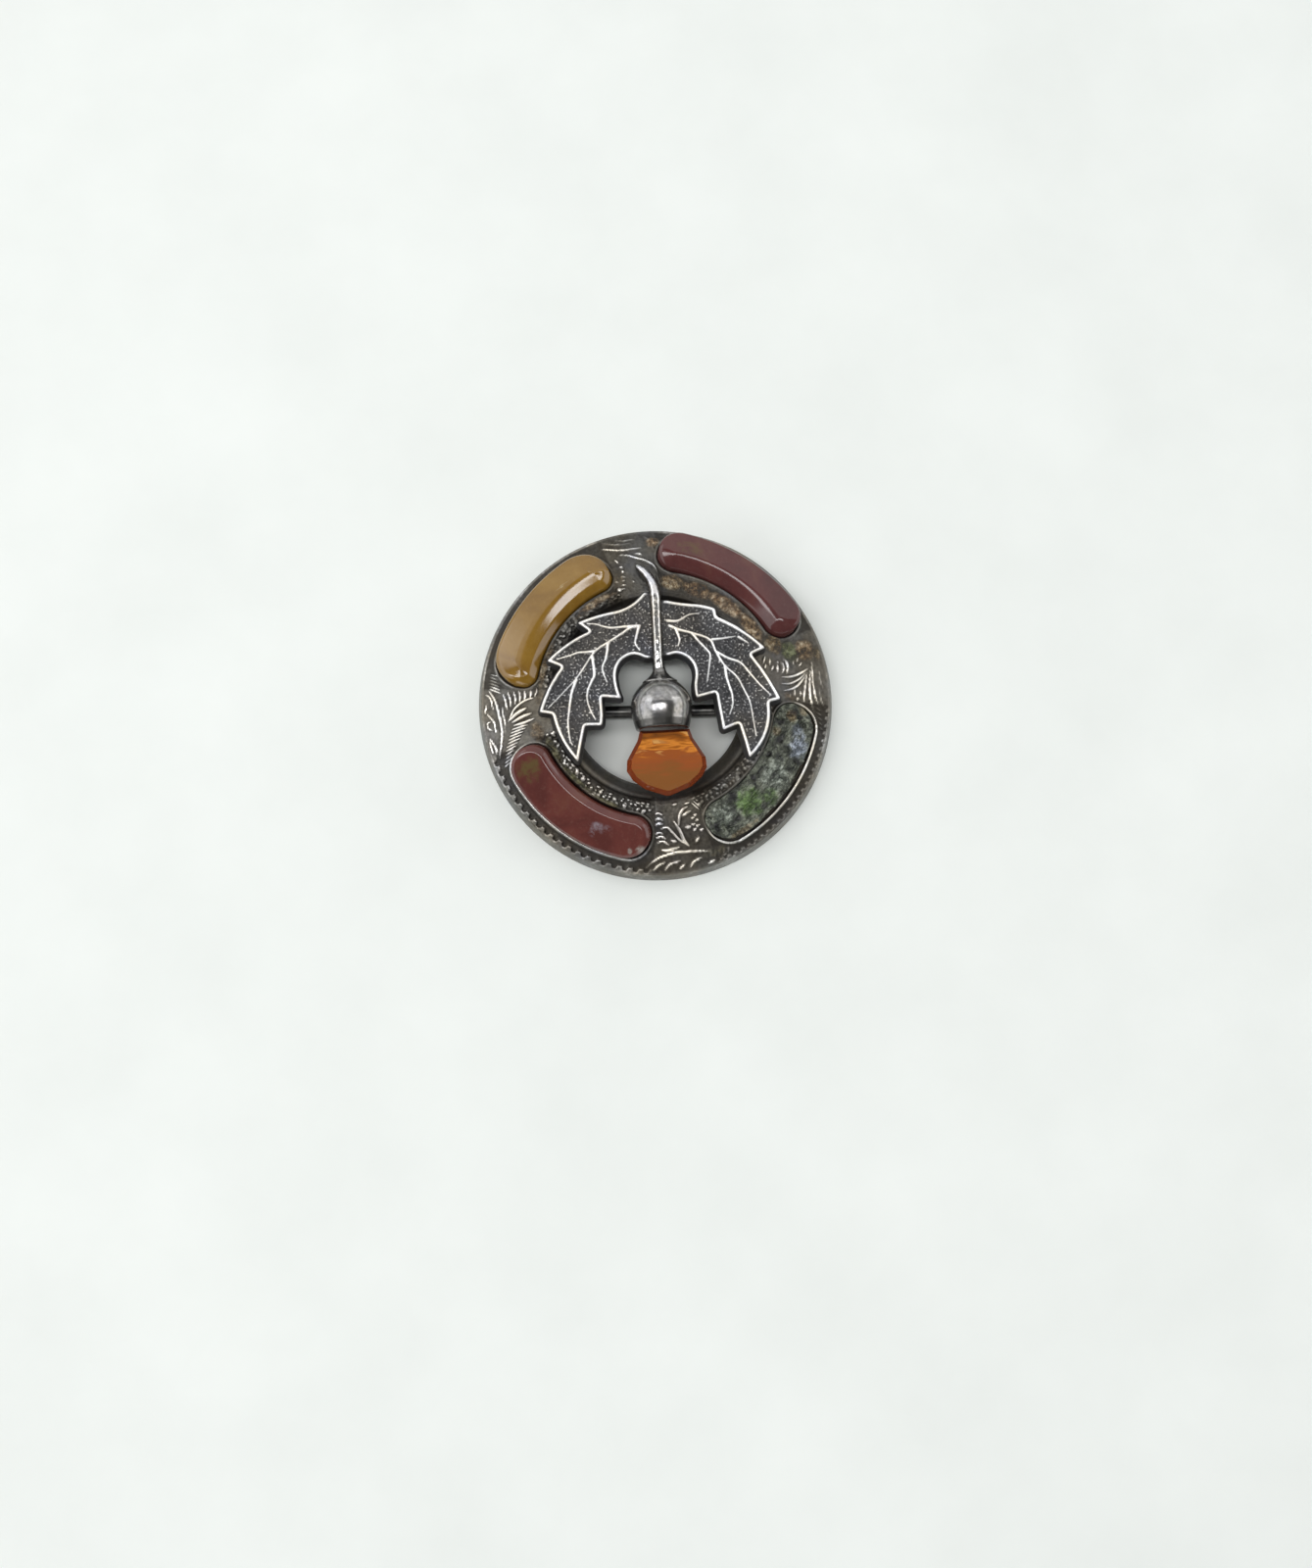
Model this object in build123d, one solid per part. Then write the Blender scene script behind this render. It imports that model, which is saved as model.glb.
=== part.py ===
from build123d import *
import math
import os

# A round silver brooch that lies on its back with its face up. Millimetres.
# The origin is the centre of the rim's foot, +Z up, +Y towards the stem's tip.

# The ring: a domed, hollow-backed casting with a plain bevelled rim.
RIM_RADIUS = 19.0
RIM_HEIGHT = 2.0
RIM_TAPER = 0.5
RIM_WALL = 0.9
RIM_DRAFT = 0.9
HOLE_RADIUS = 9.14
HOLE_LIP_HEIGHT = 1.9
HOLE_LIP_WIDTH = 0.5
HOLE_SLOPE_WIDTH = 1.75
CREST_HEIGHT = 4.3
CREST_WIDTH = 0.45
CREST_ROUND = 0.15
DOME_SWELL = 0.2

# The four kidney-shaped pockets and the slabs in them.
OUTER_BORDER = 1.2
INNER_BAND = 3.36
POCKET_DEPTH = 0.95
POCKET_FLOOR = 0.7
END_ROUND_SHARE = 0.92
LIP_WIDTH = 0.35
LIP_HEIGHT = 0.3
STONE_CLEARANCE = 0.08
STONE_STAND = 1.2
STONE_BEVEL_PLAN = 0.6
STONE_BEVEL_RISE = 0.9
CEMENT_THICKNESS = 0.45

# Raised work on the ring.
RELIEF_HEIGHT = 0.28
BEAD_RADIUS = 0.23
BEAD_PITCH = 0.8
BEAD_ROW_GAP = 0.35
BEAD_ROW_STEP = 0.5
RIB_WIDTH = 0.62
NOTCH_PITCH = 1.16
NOTCH_WIDTH_SHARE = 0.55
NOTCH_LENGTH_SHARE = 0.5
NOTCH_DEPTH = 0.3

# The thistle spray: two leaves, the stem and the ball.
SPRAY_AXIS_X = 0.4
LEAF_LAP = 3.36
LEAF_SINK = 0.6
LEAF_THICKNESS = 1.55
LEAF_FOOT_FLARE = 0.3
LEAF_FOOT_THICKNESS = 0.8
RIDGE_WIDTH = 0.28
RIDGE_HEIGHT = 0.25
VEIN_WIDTH = 0.3
VEIN_NARROWING = 0.5
STEM_RADIUS = 0.58
STEM_FLARE_RADIUS = 1.35
BALL_RADIUS = 3.2
BALL_Y = -1.4
BALL_CUT = 2.2
BALL_MOUTH_RADIUS = 2.72
BALL_CHEEK_SHARE = 0.955

# The citrine, which is held by the ball's cut end and reaches over the ring's lower edge.
CITRINE_LAP = 1.35
CITRINE_OFFSET_X = 0.2
CITRINE_HALF_WIDTH = 4.15
CITRINE_CROWN = 1.0
CITRINE_PAVILION = 1.4
CITRINE_GIRDLE = 0.35
CITRINE_GAP = 0.06
CITRINE_SEAT_GAP = 0.25
TABLE_SHARE = 0.88
CULET_SHARE = 0.5

# The pin behind the ball, in the hollow of the back.
PIN_RADIUS = 0.68
PIN_CLEARANCE = 0.25
PIN_END_GAP = 2.2
PIN_Y = -1.0
PIN_TURN = -2.1
PIN_FOOT_LENGTH = 2.4
PIN_FOOT_WIDTH = 2.6
PIN_FOOT_GAP = 0.1

# Each pocket: its middle and span in degrees, anticlockwise from +X, how far it sits outward and
# how wide it is as shares of POCKET_WIDTH, how much of its ends' rounding is on the outer side,
# its stone's bevel as a share of STONE_BEVEL_PLAN, and the step of the notches in the rim outside
# it as a share of NOTCH_PITCH, or 0 for a plain rim.
POCKET_COLUMNS = ("node", "middle", "span", "outward", "width", "outer_round", "bevel", "notches")
POCKETS = (
    ("stone_red_upper", 54.5, 64.0, 0.177, 0.87, 0.57, 1.2, 0.0),
    ("stone_ochre", 139.5, 66.0, 0.024, 1.01, 0.70, 1.4, 0.0),
    ("stone_red_lower", 231.0, 67.5, -0.023, 0.954, 0.60, 1.0, 1.0),
    ("pocket_cement", 321.2, 66.5, -0.020, 0.97, 0.64, 0.0, 0.72),
)

# The leaves' outlines as shares of LEAF_REACH from the stem's axis: across and up.
# bend is how far the run to the next point bows out of the leaf, as a share of that run.
LEAF_COLUMNS = ("across", "up", "bend")
LEFT_LEAF = (
    (0.000, 0.873, 0.0),
    (0.091, 0.873, -0.10),
    (0.353, 0.724, 0.03),
    (0.659, 0.644, 0.0),
    (0.561, 0.567, 0.05),
    (0.927, 0.335, 0.0),
    (0.808, 0.279, 0.05),
    (1.010, -0.093, 0.0),
    (0.901, -0.114, 0.07),
    (0.712, -0.525, 0.0),
    (0.680, -0.385, 0.0),
    (0.640, -0.224, 0.0),
    (0.498, -0.230, 0.0),
    (0.486, -0.142, 0.0),
    (0.490, 0.010, 0.0),
    (0.324, -0.014, -0.06),
    (0.362, 0.202, -0.17),
    (0.215, 0.353, -0.08),
    (0.109, 0.313, 0.0),
    (0.000, 0.313, 0.0),
)
RIGHT_LEAF = (
    (0.000, 0.796, 0.0),
    (0.093, 0.796, -0.02),
    (0.312, 0.754, 0.04),
    (0.498, 0.705, 0.0),
    (0.505, 0.632, 0.05),
    (0.894, 0.348, 0.0),
    (0.774, 0.301, 0.03),
    (0.993, -0.090, 0.0),
    (0.896, -0.108, 0.13),
    (0.701, -0.566, 0.0),
    (0.672, -0.426, 0.0),
    (0.634, -0.276, 0.0),
    (0.498, -0.324, 0.0),
    (0.472, -0.120, 0.0),
    (0.459, -0.006, 0.0),
    (0.293, -0.042, 0.07),
    (0.298, 0.140, -0.21),
    (0.154, 0.342, -0.08),
    (0.098, 0.329, 0.0),
    (0.000, 0.329, 0.0),
)

# The veins, each from its thick root to its tip: shares of LEAF_REACH, as for the outlines.
VEIN_COLUMNS = ("across", "up")
LEFT_VEINS = (
    ((0.144, 0.592), (0.294, 0.533), (0.492, 0.419), (0.614, 0.277), (0.794, 0.072), (0.920, -0.050)),
    ((0.144, 0.592), (0.262, 0.592), (0.369, 0.587), (0.560, 0.632)),
    ((0.534, 0.397), (0.664, 0.392), (0.841, 0.346)),
    ((0.414, 0.456), (0.443, 0.317), (0.467, 0.215), (0.438, 0.131)),
    ((0.550, 0.352), (0.540, 0.204), (0.602, 0.067), (0.588, -0.096), (0.550, -0.180)),
    ((0.693, 0.160), (0.750, -0.013), (0.778, -0.200), (0.751, -0.381)),
    ((0.149, 0.578), (0.185, 0.444), (0.152, 0.384)),
)
RIGHT_VEINS = (
    ((0.105, 0.580), (0.289, 0.508), (0.433, 0.446), (0.483, 0.335), (0.549, 0.215), (0.641, 0.119),
     (0.694, 0.008), (0.755, -0.242), (0.770, -0.383)),
    ((0.091, 0.623), (0.181, 0.618), (0.274, 0.663), (0.361, 0.671)),
    ((0.457, 0.444), (0.547, 0.448), (0.757, 0.395)),
    ((0.289, 0.508), (0.410, 0.355), (0.432, 0.313), (0.394, 0.095)),
    ((0.549, 0.215), (0.591, -0.019), (0.563, -0.195)),
    ((0.491, 0.334), (0.577, 0.280), (0.681, 0.233), (0.835, 0.034)),
    ((0.160, 0.544), (0.184, 0.459), (0.168, 0.402)),
)

# The stem's centre line from its tip to the ball, as shares of LEAF_REACH.
# lift is the centre's height over the leaves' top, as a share of the stem's radius.
STEM_COLUMNS = ("across", "up", "lift", "radius_share")
STEM = (
    (-0.120, 1.118, -2.0, 0.35),
    (-0.049, 1.038, -1.2, 0.75),
    (-0.002, 0.935, -0.2, 0.95),
    (0.010, 0.834, 0.2, 1.0),
    (0.004, 0.560, 0.3, 1.0),
    (0.004, 0.300, 0.3, 1.0),
)

# The citrine's half outline from the collar to its point: shares of its length and half width.
CITRINE_COLUMNS = ("along", "half_width")
CITRINE_OUTLINE = (
    (0.00, 0.62),
    (0.14, 0.69),
    (0.44, 0.98),
    (0.60, 1.00),
    (0.74, 0.86),
    (0.88, 0.58),
    (1.00, 0.05),
)

# The raised leaf ribs of each panel between two pockets, for one half of the panel.
# Radial places run from 0 at the pockets' inner radius to 1 at the rim's top edge.
# Turns are degrees from the panel's middle.
RIB_COLUMNS = ("from_place", "from_turn", "to_place", "to_turn", "width_share", "bend")
RIBS = (
    (0.02, 1.2, 0.34, 3.2, 1.0, 0.10),
    (0.12, 2.6, 0.46, 6.4, 0.9, 0.14),
    (0.40, 0.9, 0.70, 2.4, 1.0, 0.12),
    (0.50, 3.2, 0.72, 7.2, 0.9, 0.12),
    (0.60, 5.6, 0.80, 11.0, 0.8, 0.12),
    (0.80, 1.2, 0.92, 6.4, 0.7, 0.14),
    (0.82, 6.6, 0.93, 12.2, 0.7, 0.14),
)

RIM_TOP_RADIUS = RIM_RADIUS - RIM_TAPER
RIM_INNER_RADIUS = RIM_RADIUS - RIM_WALL
HOLLOW_RADIUS = RIM_INNER_RADIUS - RIM_DRAFT
SLOPE_TOP_RADIUS = HOLE_RADIUS + HOLE_SLOPE_WIDTH
CREST_RADIUS = SLOPE_TOP_RADIUS + CREST_WIDTH
POCKET_INNER_RADIUS = HOLE_RADIUS + INNER_BAND
POCKET_OUTER_RADIUS = RIM_TOP_RADIUS - OUTER_BORDER
POCKET_MID_RADIUS = (POCKET_INNER_RADIUS + POCKET_OUTER_RADIUS) / 2
POCKET_WIDTH = POCKET_OUTER_RADIUS - POCKET_INNER_RADIUS
PANEL_DEPTH = RIM_TOP_RADIUS - POCKET_INNER_RADIUS
LEAF_REACH = HOLE_RADIUS + LEAF_LAP
LEAF_UNDERSIDE = CREST_HEIGHT - LEAF_SINK
LEAF_TOP = LEAF_UNDERSIDE + LEAF_THICKNESS
PIN_HEIGHT = PIN_CLEARANCE + PIN_RADIUS
BALL_HEIGHT = LEAF_TOP
CITRINE_TOP_Y = BALL_Y - BALL_CUT - CITRINE_GAP
CITRINE_LENGTH = HOLE_RADIUS + CITRINE_LAP + CITRINE_TOP_Y


def rows(columns, table):
    """A table's rows as dictionaries."""
    return [dict(zip(columns, row)) for row in table]


def polar(radius, degrees):
    """A point in the XY plane."""
    turn = math.radians(degrees)
    return (radius * math.cos(turn), radius * math.sin(turn))


def dome_arc(raised=0.0):
    """The dome's profile from the rim's top edge to the crest, in the XZ plane."""
    middle_radius = (RIM_TOP_RADIUS + CREST_RADIUS) / 2
    middle_height = (RIM_HEIGHT + CREST_HEIGHT) / 2 + DOME_SWELL
    return ThreePointArc(
        (RIM_TOP_RADIUS, 0, RIM_HEIGHT + raised),
        (middle_radius, 0, middle_height + raised),
        (CREST_RADIUS, 0, CREST_HEIGHT + raised),
    )


def dome_height(radius):
    """The dome's height at a radius, between the rim's top edge and the crest."""
    arc = dome_arc()
    centre = arc.arc_center
    return centre.Z + math.sqrt(arc.radius**2 - (radius - centre.X) ** 2)


def pocket_slope():
    """How steeply the dome falls across a pocket, as a drop for each unit outward."""
    drop = dome_height(POCKET_INNER_RADIUS) - dome_height(POCKET_OUTER_RADIUS)
    return drop / POCKET_WIDTH


def pocket_radius(pocket):
    """The radius of the middle of a pocket."""
    return POCKET_MID_RADIUS + pocket["outward"] * POCKET_WIDTH


def underside(radius):
    """The hollow back's height at a radius, one floor's thickness below the pockets."""
    middle = dome_height(POCKET_MID_RADIUS) - POCKET_DEPTH - POCKET_FLOOR
    return middle - (radius - POCKET_MID_RADIUS) * pocket_slope()


def pocket_plane(pocket):
    """The tilted plane on the dome at a pocket's middle: local +X points to the rim."""
    turn, tilt = math.radians(pocket["middle"]), math.atan(pocket_slope())
    x, y = polar(pocket_radius(pocket), pocket["middle"])
    outward = (math.cos(turn), math.sin(turn))
    return Plane(
        origin=(x, y, dome_height(pocket_radius(pocket))),
        x_dir=(math.cos(tilt) * outward[0], math.cos(tilt) * outward[1], -math.sin(tilt)),
        z_dir=(math.sin(tilt) * outward[0], math.sin(tilt) * outward[1], math.cos(tilt)),
    )


def kidney(pocket, grow=0.0):
    """A pocket's outline about the brooch's axis, seen in the pocket's own plane."""
    middle = pocket_radius(pocket)
    width = pocket["width"] * POCKET_WIDTH
    inner, outer = middle - width / 2 - grow, middle + width / 2 + grow
    half = pocket["span"] / 2 + math.degrees(grow / middle)
    outer_arc = CenterArc((-middle, 0), outer, -half, 2 * half)
    inner_arc = CenterArc((-middle, 0), inner, -half, 2 * half)
    face = make_face(
        [
            outer_arc,
            Line(outer_arc @ 1, inner_arc @ 1),
            inner_arc,
            Line(inner_arc @ 0, outer_arc @ 0),
        ]
    )
    outer_corners = face.vertices().sort_by(Axis.X)[-2:]
    face = fillet(outer_corners, pocket["outer_round"] * END_ROUND_SHARE * width + grow)
    inner_corners = face.vertices().sort_by(Axis.X)[:2]
    inner_round = (1 - pocket["outer_round"]) * END_ROUND_SHARE * width
    return fillet(inner_corners, inner_round + grow)


def ring_blank():
    """The ring's casting before its pockets are sunk: one turned profile."""
    corners = [
        (CREST_RADIUS, 0, CREST_HEIGHT),
        (SLOPE_TOP_RADIUS, 0, CREST_HEIGHT - CREST_ROUND),
        (HOLE_RADIUS, 0, HOLE_LIP_HEIGHT),
        (HOLE_RADIUS + HOLE_LIP_WIDTH, 0, HOLE_LIP_HEIGHT),
        (POCKET_INNER_RADIUS, 0, underside(POCKET_INNER_RADIUS)),
        (HOLLOW_RADIUS, 0, underside(HOLLOW_RADIUS)),
        (RIM_INNER_RADIUS, 0, 0),
        (RIM_RADIUS, 0, 0),
        (RIM_TOP_RADIUS, 0, RIM_HEIGHT),
    ]
    return revolve(make_face([dome_arc(), Polyline(*corners)]), Axis.Z)


def raised_dome(height):
    """The solid under the crest and the dome lifted by a height, which trims the raised work."""
    corners = [
        (CREST_RADIUS, 0, CREST_HEIGHT + height),
        (SLOPE_TOP_RADIUS, 0, CREST_HEIGHT - CREST_ROUND + height),
        (SLOPE_TOP_RADIUS, 0, HOLE_LIP_HEIGHT),
        (RIM_TOP_RADIUS, 0, HOLE_LIP_HEIGHT),
        (RIM_TOP_RADIUS, 0, RIM_HEIGHT + height),
    ]
    return revolve(make_face([dome_arc(height), Polyline(*corners)]), Axis.Z)


def column(sketch):
    """A flat outline drawn up from inside the ring's wall to above the raised work."""
    return extrude(Pos(0, 0, RIM_HEIGHT) * sketch, amount=CREST_HEIGHT)


def lip_sketch():
    """The edge round each pocket."""
    bands = []
    for pocket in rows(POCKET_COLUMNS, POCKETS):
        band = kidney(pocket, LIP_WIDTH) - kidney(pocket)
        middle = polar(pocket_radius(pocket), pocket["middle"])
        bands.append(Pos(*middle) * Rot(0, 0, pocket["middle"]) * band)
    return bands


def bead_sketch():
    """Two staggered rows of beads along the inner side of each pocket."""
    beads = []
    for row in range(2):
        radius = POCKET_INNER_RADIUS - LIP_WIDTH - BEAD_ROW_GAP - row * BEAD_ROW_STEP
        step = math.degrees(BEAD_PITCH / radius)
        for pocket in rows(POCKET_COLUMNS, POCKETS):
            count = int(pocket["span"] / step)
            first = pocket["middle"] - (count - row) * step / 2
            for i in range(count):
                beads.append(Pos(*polar(radius, first + i * step)) * Circle(BEAD_RADIUS))
    return beads


def rib(start, end, width, bend):
    """A pointed leaf rib between two points, bowed to one side."""
    start, end = Vector(*start), Vector(*end)
    middle = (start + end) / 2
    run = end - start
    side = Vector(-run.Y, run.X, 0).normalized()
    bow = middle + side * (bend * run.length)
    return make_face(
        [
            ThreePointArc(start, bow + side * (width / 2), end),
            ThreePointArc(end, bow - side * (width / 2), start),
        ]
    )


def rib_sketch():
    """The fans of leaf ribs in the four panels between the pockets."""
    middles = sorted(pocket["middle"] for pocket in rows(POCKET_COLUMNS, POCKETS))
    panels = []
    for i, middle in enumerate(middles):
        following = middles[i + 1] if i + 1 < len(middles) else middles[0] + 360
        panels.append((middle + following) / 2)
    ribs = []
    for panel in panels:
        for cells in rows(RIB_COLUMNS, RIBS):
            for side in (-1, 1):
                start = polar(
                    POCKET_INNER_RADIUS + cells["from_place"] * PANEL_DEPTH,
                    panel + side * cells["from_turn"],
                )
                end = polar(
                    POCKET_INNER_RADIUS + cells["to_place"] * PANEL_DEPTH,
                    panel + side * cells["to_turn"],
                )
                ribs.append(
                    rib(start, end, cells["width_share"] * RIB_WIDTH, side * cells["bend"])
                )
    return ribs


def notches():
    """Short cuts across the rim's top edge outside the lower pockets."""
    cuts = []
    for pocket in rows(POCKET_COLUMNS, POCKETS):
        if pocket["notches"] == 0:
            continue
        pitch = pocket["notches"] * NOTCH_PITCH
        step = math.degrees(pitch / RIM_TOP_RADIUS)
        count = int(pocket["span"] / step)
        length, width = 2 * NOTCH_LENGTH_SHARE * pitch, NOTCH_WIDTH_SHARE * pitch
        tool = Box(length, width, 2 * NOTCH_DEPTH)
        for i in range(count + 1):
            turn = pocket["middle"] + (i - count / 2) * step
            x, y = polar(RIM_TOP_RADIUS, turn)
            cuts.append(Pos(x, y, RIM_HEIGHT) * Rot(0, 0, turn) * tool)
    return cuts


def inset(points, amount):
    """The corners of a closed outline, each moved in by the same distance from its two runs."""
    area = sum(a.X * b.Y - b.X * a.Y for a, b in zip(points, points[1:] + points[:1]))
    inward = 1 if area > 0 else -1
    moved = []
    for i, point in enumerate(points):
        before = (point - points[i - 1]).normalized()
        after = (points[(i + 1) % len(points)] - point).normalized()
        normal_before = Vector(-before.Y, before.X) * inward
        normal_after = Vector(-after.Y, after.X) * inward
        corner = normal_before + normal_after
        moved.append(point + corner * (2 * amount / corner.length**2))
    return moved


def leaf_outline(side, table, inset_by=0.0):
    """A leaf's closed outline: side is -1 for the left leaf and 1 for the right one."""
    corners = rows(LEAF_COLUMNS, table)
    points = [
        Vector(SPRAY_AXIS_X + side * row["across"] * LEAF_REACH, row["up"] * LEAF_REACH)
        for row in corners
    ]
    points = inset(points, inset_by)
    edges = []
    for i, row in enumerate(corners):
        start, end = points[i], points[(i + 1) % len(points)]
        if row["bend"] == 0:
            edges.append(Line(start, end))
        else:
            run = end - start
            out = Vector(-run.Y, run.X, 0) * side
            edges.append(ThreePointArc(start, (start + end) / 2 + out * row["bend"], end))
    return make_face(edges)


def vein(side, points):
    """A vein as a flat strip that narrows from its root to a point."""
    line = [
        Vector(SPRAY_AXIS_X + side * row["across"] * LEAF_REACH, row["up"] * LEAF_REACH)
        for row in rows(VEIN_COLUMNS, points)
    ]
    left, right = [], []
    last = len(line) - 1
    for i, point in enumerate(line[:-1]):
        back = line[max(i - 1, 0)]
        run = (line[i + 1] - back).normalized()
        half = VEIN_WIDTH / 2 * (1 - VEIN_NARROWING * i / last)
        sideways = Vector(-run.Y, run.X, 0) * half
        left.append(point + sideways)
        right.append(point - sideways)
    outline = left + [line[-1]] + right[::-1]
    return make_face(Polyline(*outline, close=True))


def leaf(side, outline_table, vein_table):
    """One leaf: a plate with a flared foot, a raised edge and raised veins."""
    outline = leaf_outline(side, outline_table)
    plate = extrude(Pos(0, 0, LEAF_UNDERSIDE) * outline, amount=LEAF_THICKNESS)
    foot_outline = offset(outline, LEAF_FOOT_FLARE, kind=Kind.ARC)
    foot = extrude(Pos(0, 0, LEAF_UNDERSIDE) * foot_outline, amount=LEAF_FOOT_THICKNESS)
    ground = leaf_outline(side, outline_table, RIDGE_WIDTH)
    ridge = extrude(Pos(0, 0, LEAF_TOP) * (outline - ground), amount=RIDGE_HEIGHT)
    body = plate + foot + ridge
    for points in vein_table:
        body += extrude(Pos(0, 0, LEAF_TOP) * vein(side, points), amount=RIDGE_HEIGHT)
    return body


def stem():
    """The stem from its tip on the ring to the ball, round and tapering."""
    places = rows(STEM_COLUMNS, STEM)
    centres = [
        Vector(
            SPRAY_AXIS_X + row["across"] * LEAF_REACH,
            row["up"] * LEAF_REACH,
            LEAF_TOP + row["lift"] * STEM_RADIUS,
        )
        for row in places
    ]
    radii = [row["radius_share"] * STEM_RADIUS for row in places]
    ball_top = Vector(SPRAY_AXIS_X, BALL_Y + BALL_RADIUS, BALL_HEIGHT)
    centres += [ball_top + Vector(0, STEM_FLARE_RADIUS, 0), ball_top - Vector(0, STEM_RADIUS, 0)]
    radii += [STEM_RADIUS, STEM_FLARE_RADIUS]
    sections = []
    for i, centre in enumerate(centres):
        run = centres[min(i + 1, len(centres) - 1)] - centres[max(i - 1, 0)]
        sections.append(Plane(origin=centre, x_dir=(0, 0, 1), z_dir=run) * Circle(radii[i]))
    return loft(sections)


def ball():
    """The thistle's head: a ball that stays full down to its flat mouth over the citrine."""
    cheek_y = -BALL_CUT / 2
    face = make_face(
        [
            RadiusArc((0, BALL_RADIUS), (BALL_RADIUS, 0), BALL_RADIUS),
            ThreePointArc(
                (BALL_RADIUS, 0),
                (BALL_CHEEK_SHARE * BALL_RADIUS, cheek_y),
                (BALL_MOUTH_RADIUS, -BALL_CUT),
            ),
            Line((BALL_MOUTH_RADIUS, -BALL_CUT), (0, -BALL_CUT)),
            Line((0, -BALL_CUT), (0, BALL_RADIUS)),
        ]
    )
    return Pos(SPRAY_AXIS_X, BALL_Y, BALL_HEIGHT) * revolve(face, Axis.Y)


def silver_frame():
    """All the soldered silver: the ring with its raised work, and the spray on it."""
    body = ring_blank()
    trim = raised_dome(RELIEF_HEIGHT)
    body = body.fuse(*[column(face) & trim for face in bead_sketch() + rib_sketch()])
    trim = raised_dome(LIP_HEIGHT)
    body = body.fuse(*[column(face) & trim for face in lip_sketch()])
    cutters = []
    for pocket in rows(POCKET_COLUMNS, POCKETS):
        cutter = extrude(kidney(pocket), amount=CREST_HEIGHT)
        cutters.append(pocket_plane(pocket) * Pos(0, 0, -POCKET_DEPTH) * cutter)
    body = body - cutters - notches()
    body = body + leaf(-1, LEFT_LEAF, LEFT_VEINS) + leaf(1, RIGHT_LEAF, RIGHT_VEINS)
    return body + stem() + ball()


def slab(pocket):
    """A polished stone slab in its pocket, with a bevelled upper edge."""
    outline = kidney(pocket, -STONE_CLEARANCE)
    blank = extrude(outline, amount=POCKET_DEPTH - STONE_CLEARANCE + STONE_STAND)
    top = blank.faces().sort_by(Axis.Z)[-1]
    bevelled = chamfer(top.edges(), STONE_BEVEL_RISE, pocket["bevel"] * STONE_BEVEL_PLAN)
    return pocket_plane(pocket) * Pos(0, 0, STONE_CLEARANCE - POCKET_DEPTH) * bevelled


def cement(pocket):
    """What is left of the bed in the empty pocket: a thin layer on its floor."""
    layer = extrude(kidney(pocket, -STONE_CLEARANCE), amount=CEMENT_THICKNESS)
    return pocket_plane(pocket) * Pos(0, 0, STONE_CLEARANCE - POCKET_DEPTH) * layer


def citrine_ring(share, height):
    """The citrine's outline at a height, drawn in towards its middle by a share."""
    half = rows(CITRINE_COLUMNS, CITRINE_OUTLINE)
    middle_x = SPRAY_AXIS_X + CITRINE_OFFSET_X
    middle_y = CITRINE_TOP_Y - CITRINE_LENGTH / 2
    points = []
    for side in (1, -1):
        for row in half if side == 1 else half[::-1]:
            x = middle_x + side * share * row["half_width"] * CITRINE_HALF_WIDTH
            y = middle_y + share * (0.5 - row["along"]) * CITRINE_LENGTH
            points.append(Vector(x, y, height))
    return points


def citrine():
    """The faceted flower: a table, crown facets, a thin girdle and a pavilion."""
    girdle_low = CREST_HEIGHT + CITRINE_SEAT_GAP
    girdle_top = girdle_low + CITRINE_GIRDLE
    levels = (
        (CULET_SHARE, girdle_low - CITRINE_PAVILION),
        (1.0, girdle_low),
        (1.0, girdle_top),
        (TABLE_SHARE, girdle_top + CITRINE_CROWN),
    )
    rings = [citrine_ring(share, height) for share, height in levels]
    faces = [Face(Wire.make_polygon(rings[0])), Face(Wire.make_polygon(rings[-1]))]
    for low, high in zip(rings, rings[1:]):
        for i in range(len(low)):
            j = (i + 1) % len(low)
            faces.append(Face(Wire.make_polygon([low[i], low[j], high[j], high[i]])))
    return Solid(Shell(faces))


def pin():
    """The pin's plain bar and the two feet under the ring that stand for hinge and catch."""
    reach = HOLLOW_RADIUS - PIN_END_GAP
    body = Pos(0, 0, PIN_HEIGHT) * Rot(0, 90, 0) * Cylinder(PIN_RADIUS, 2 * reach)
    foot_height = underside(reach) - PIN_FOOT_GAP - PIN_CLEARANCE
    foot = Box(PIN_FOOT_LENGTH, PIN_FOOT_WIDTH, foot_height)
    for side in (-1, 1):
        x = side * (reach - PIN_FOOT_LENGTH / 2)
        body += Pos(x, 0, PIN_CLEARANCE + foot_height / 2) * foot
    return Pos(0, PIN_Y, 0) * Rot(0, 0, PIN_TURN) * body


def main():
    os.makedirs("parts", exist_ok=True)
    nodes = {"silver_frame": silver_frame(), "citrine": citrine(), "pin": pin()}
    for pocket in rows(POCKET_COLUMNS, POCKETS):
        if pocket["bevel"] == 0:
            nodes[pocket["node"]] = cement(pocket)
        else:
            nodes[pocket["node"]] = slab(pocket)
    for name, solid in nodes.items():
        export_step(solid, f"parts/{name}.step")


main()
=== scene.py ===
"""A tarnished silver brooch with a thistle spray, jasper slabs and a citrine, on pale paper."""

import math
import random

import bpy
import numpy as np
from mathutils import Matrix, Quaternion, Vector, noise
from mathutils.geometry import delaunay_2d_cdt

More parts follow.
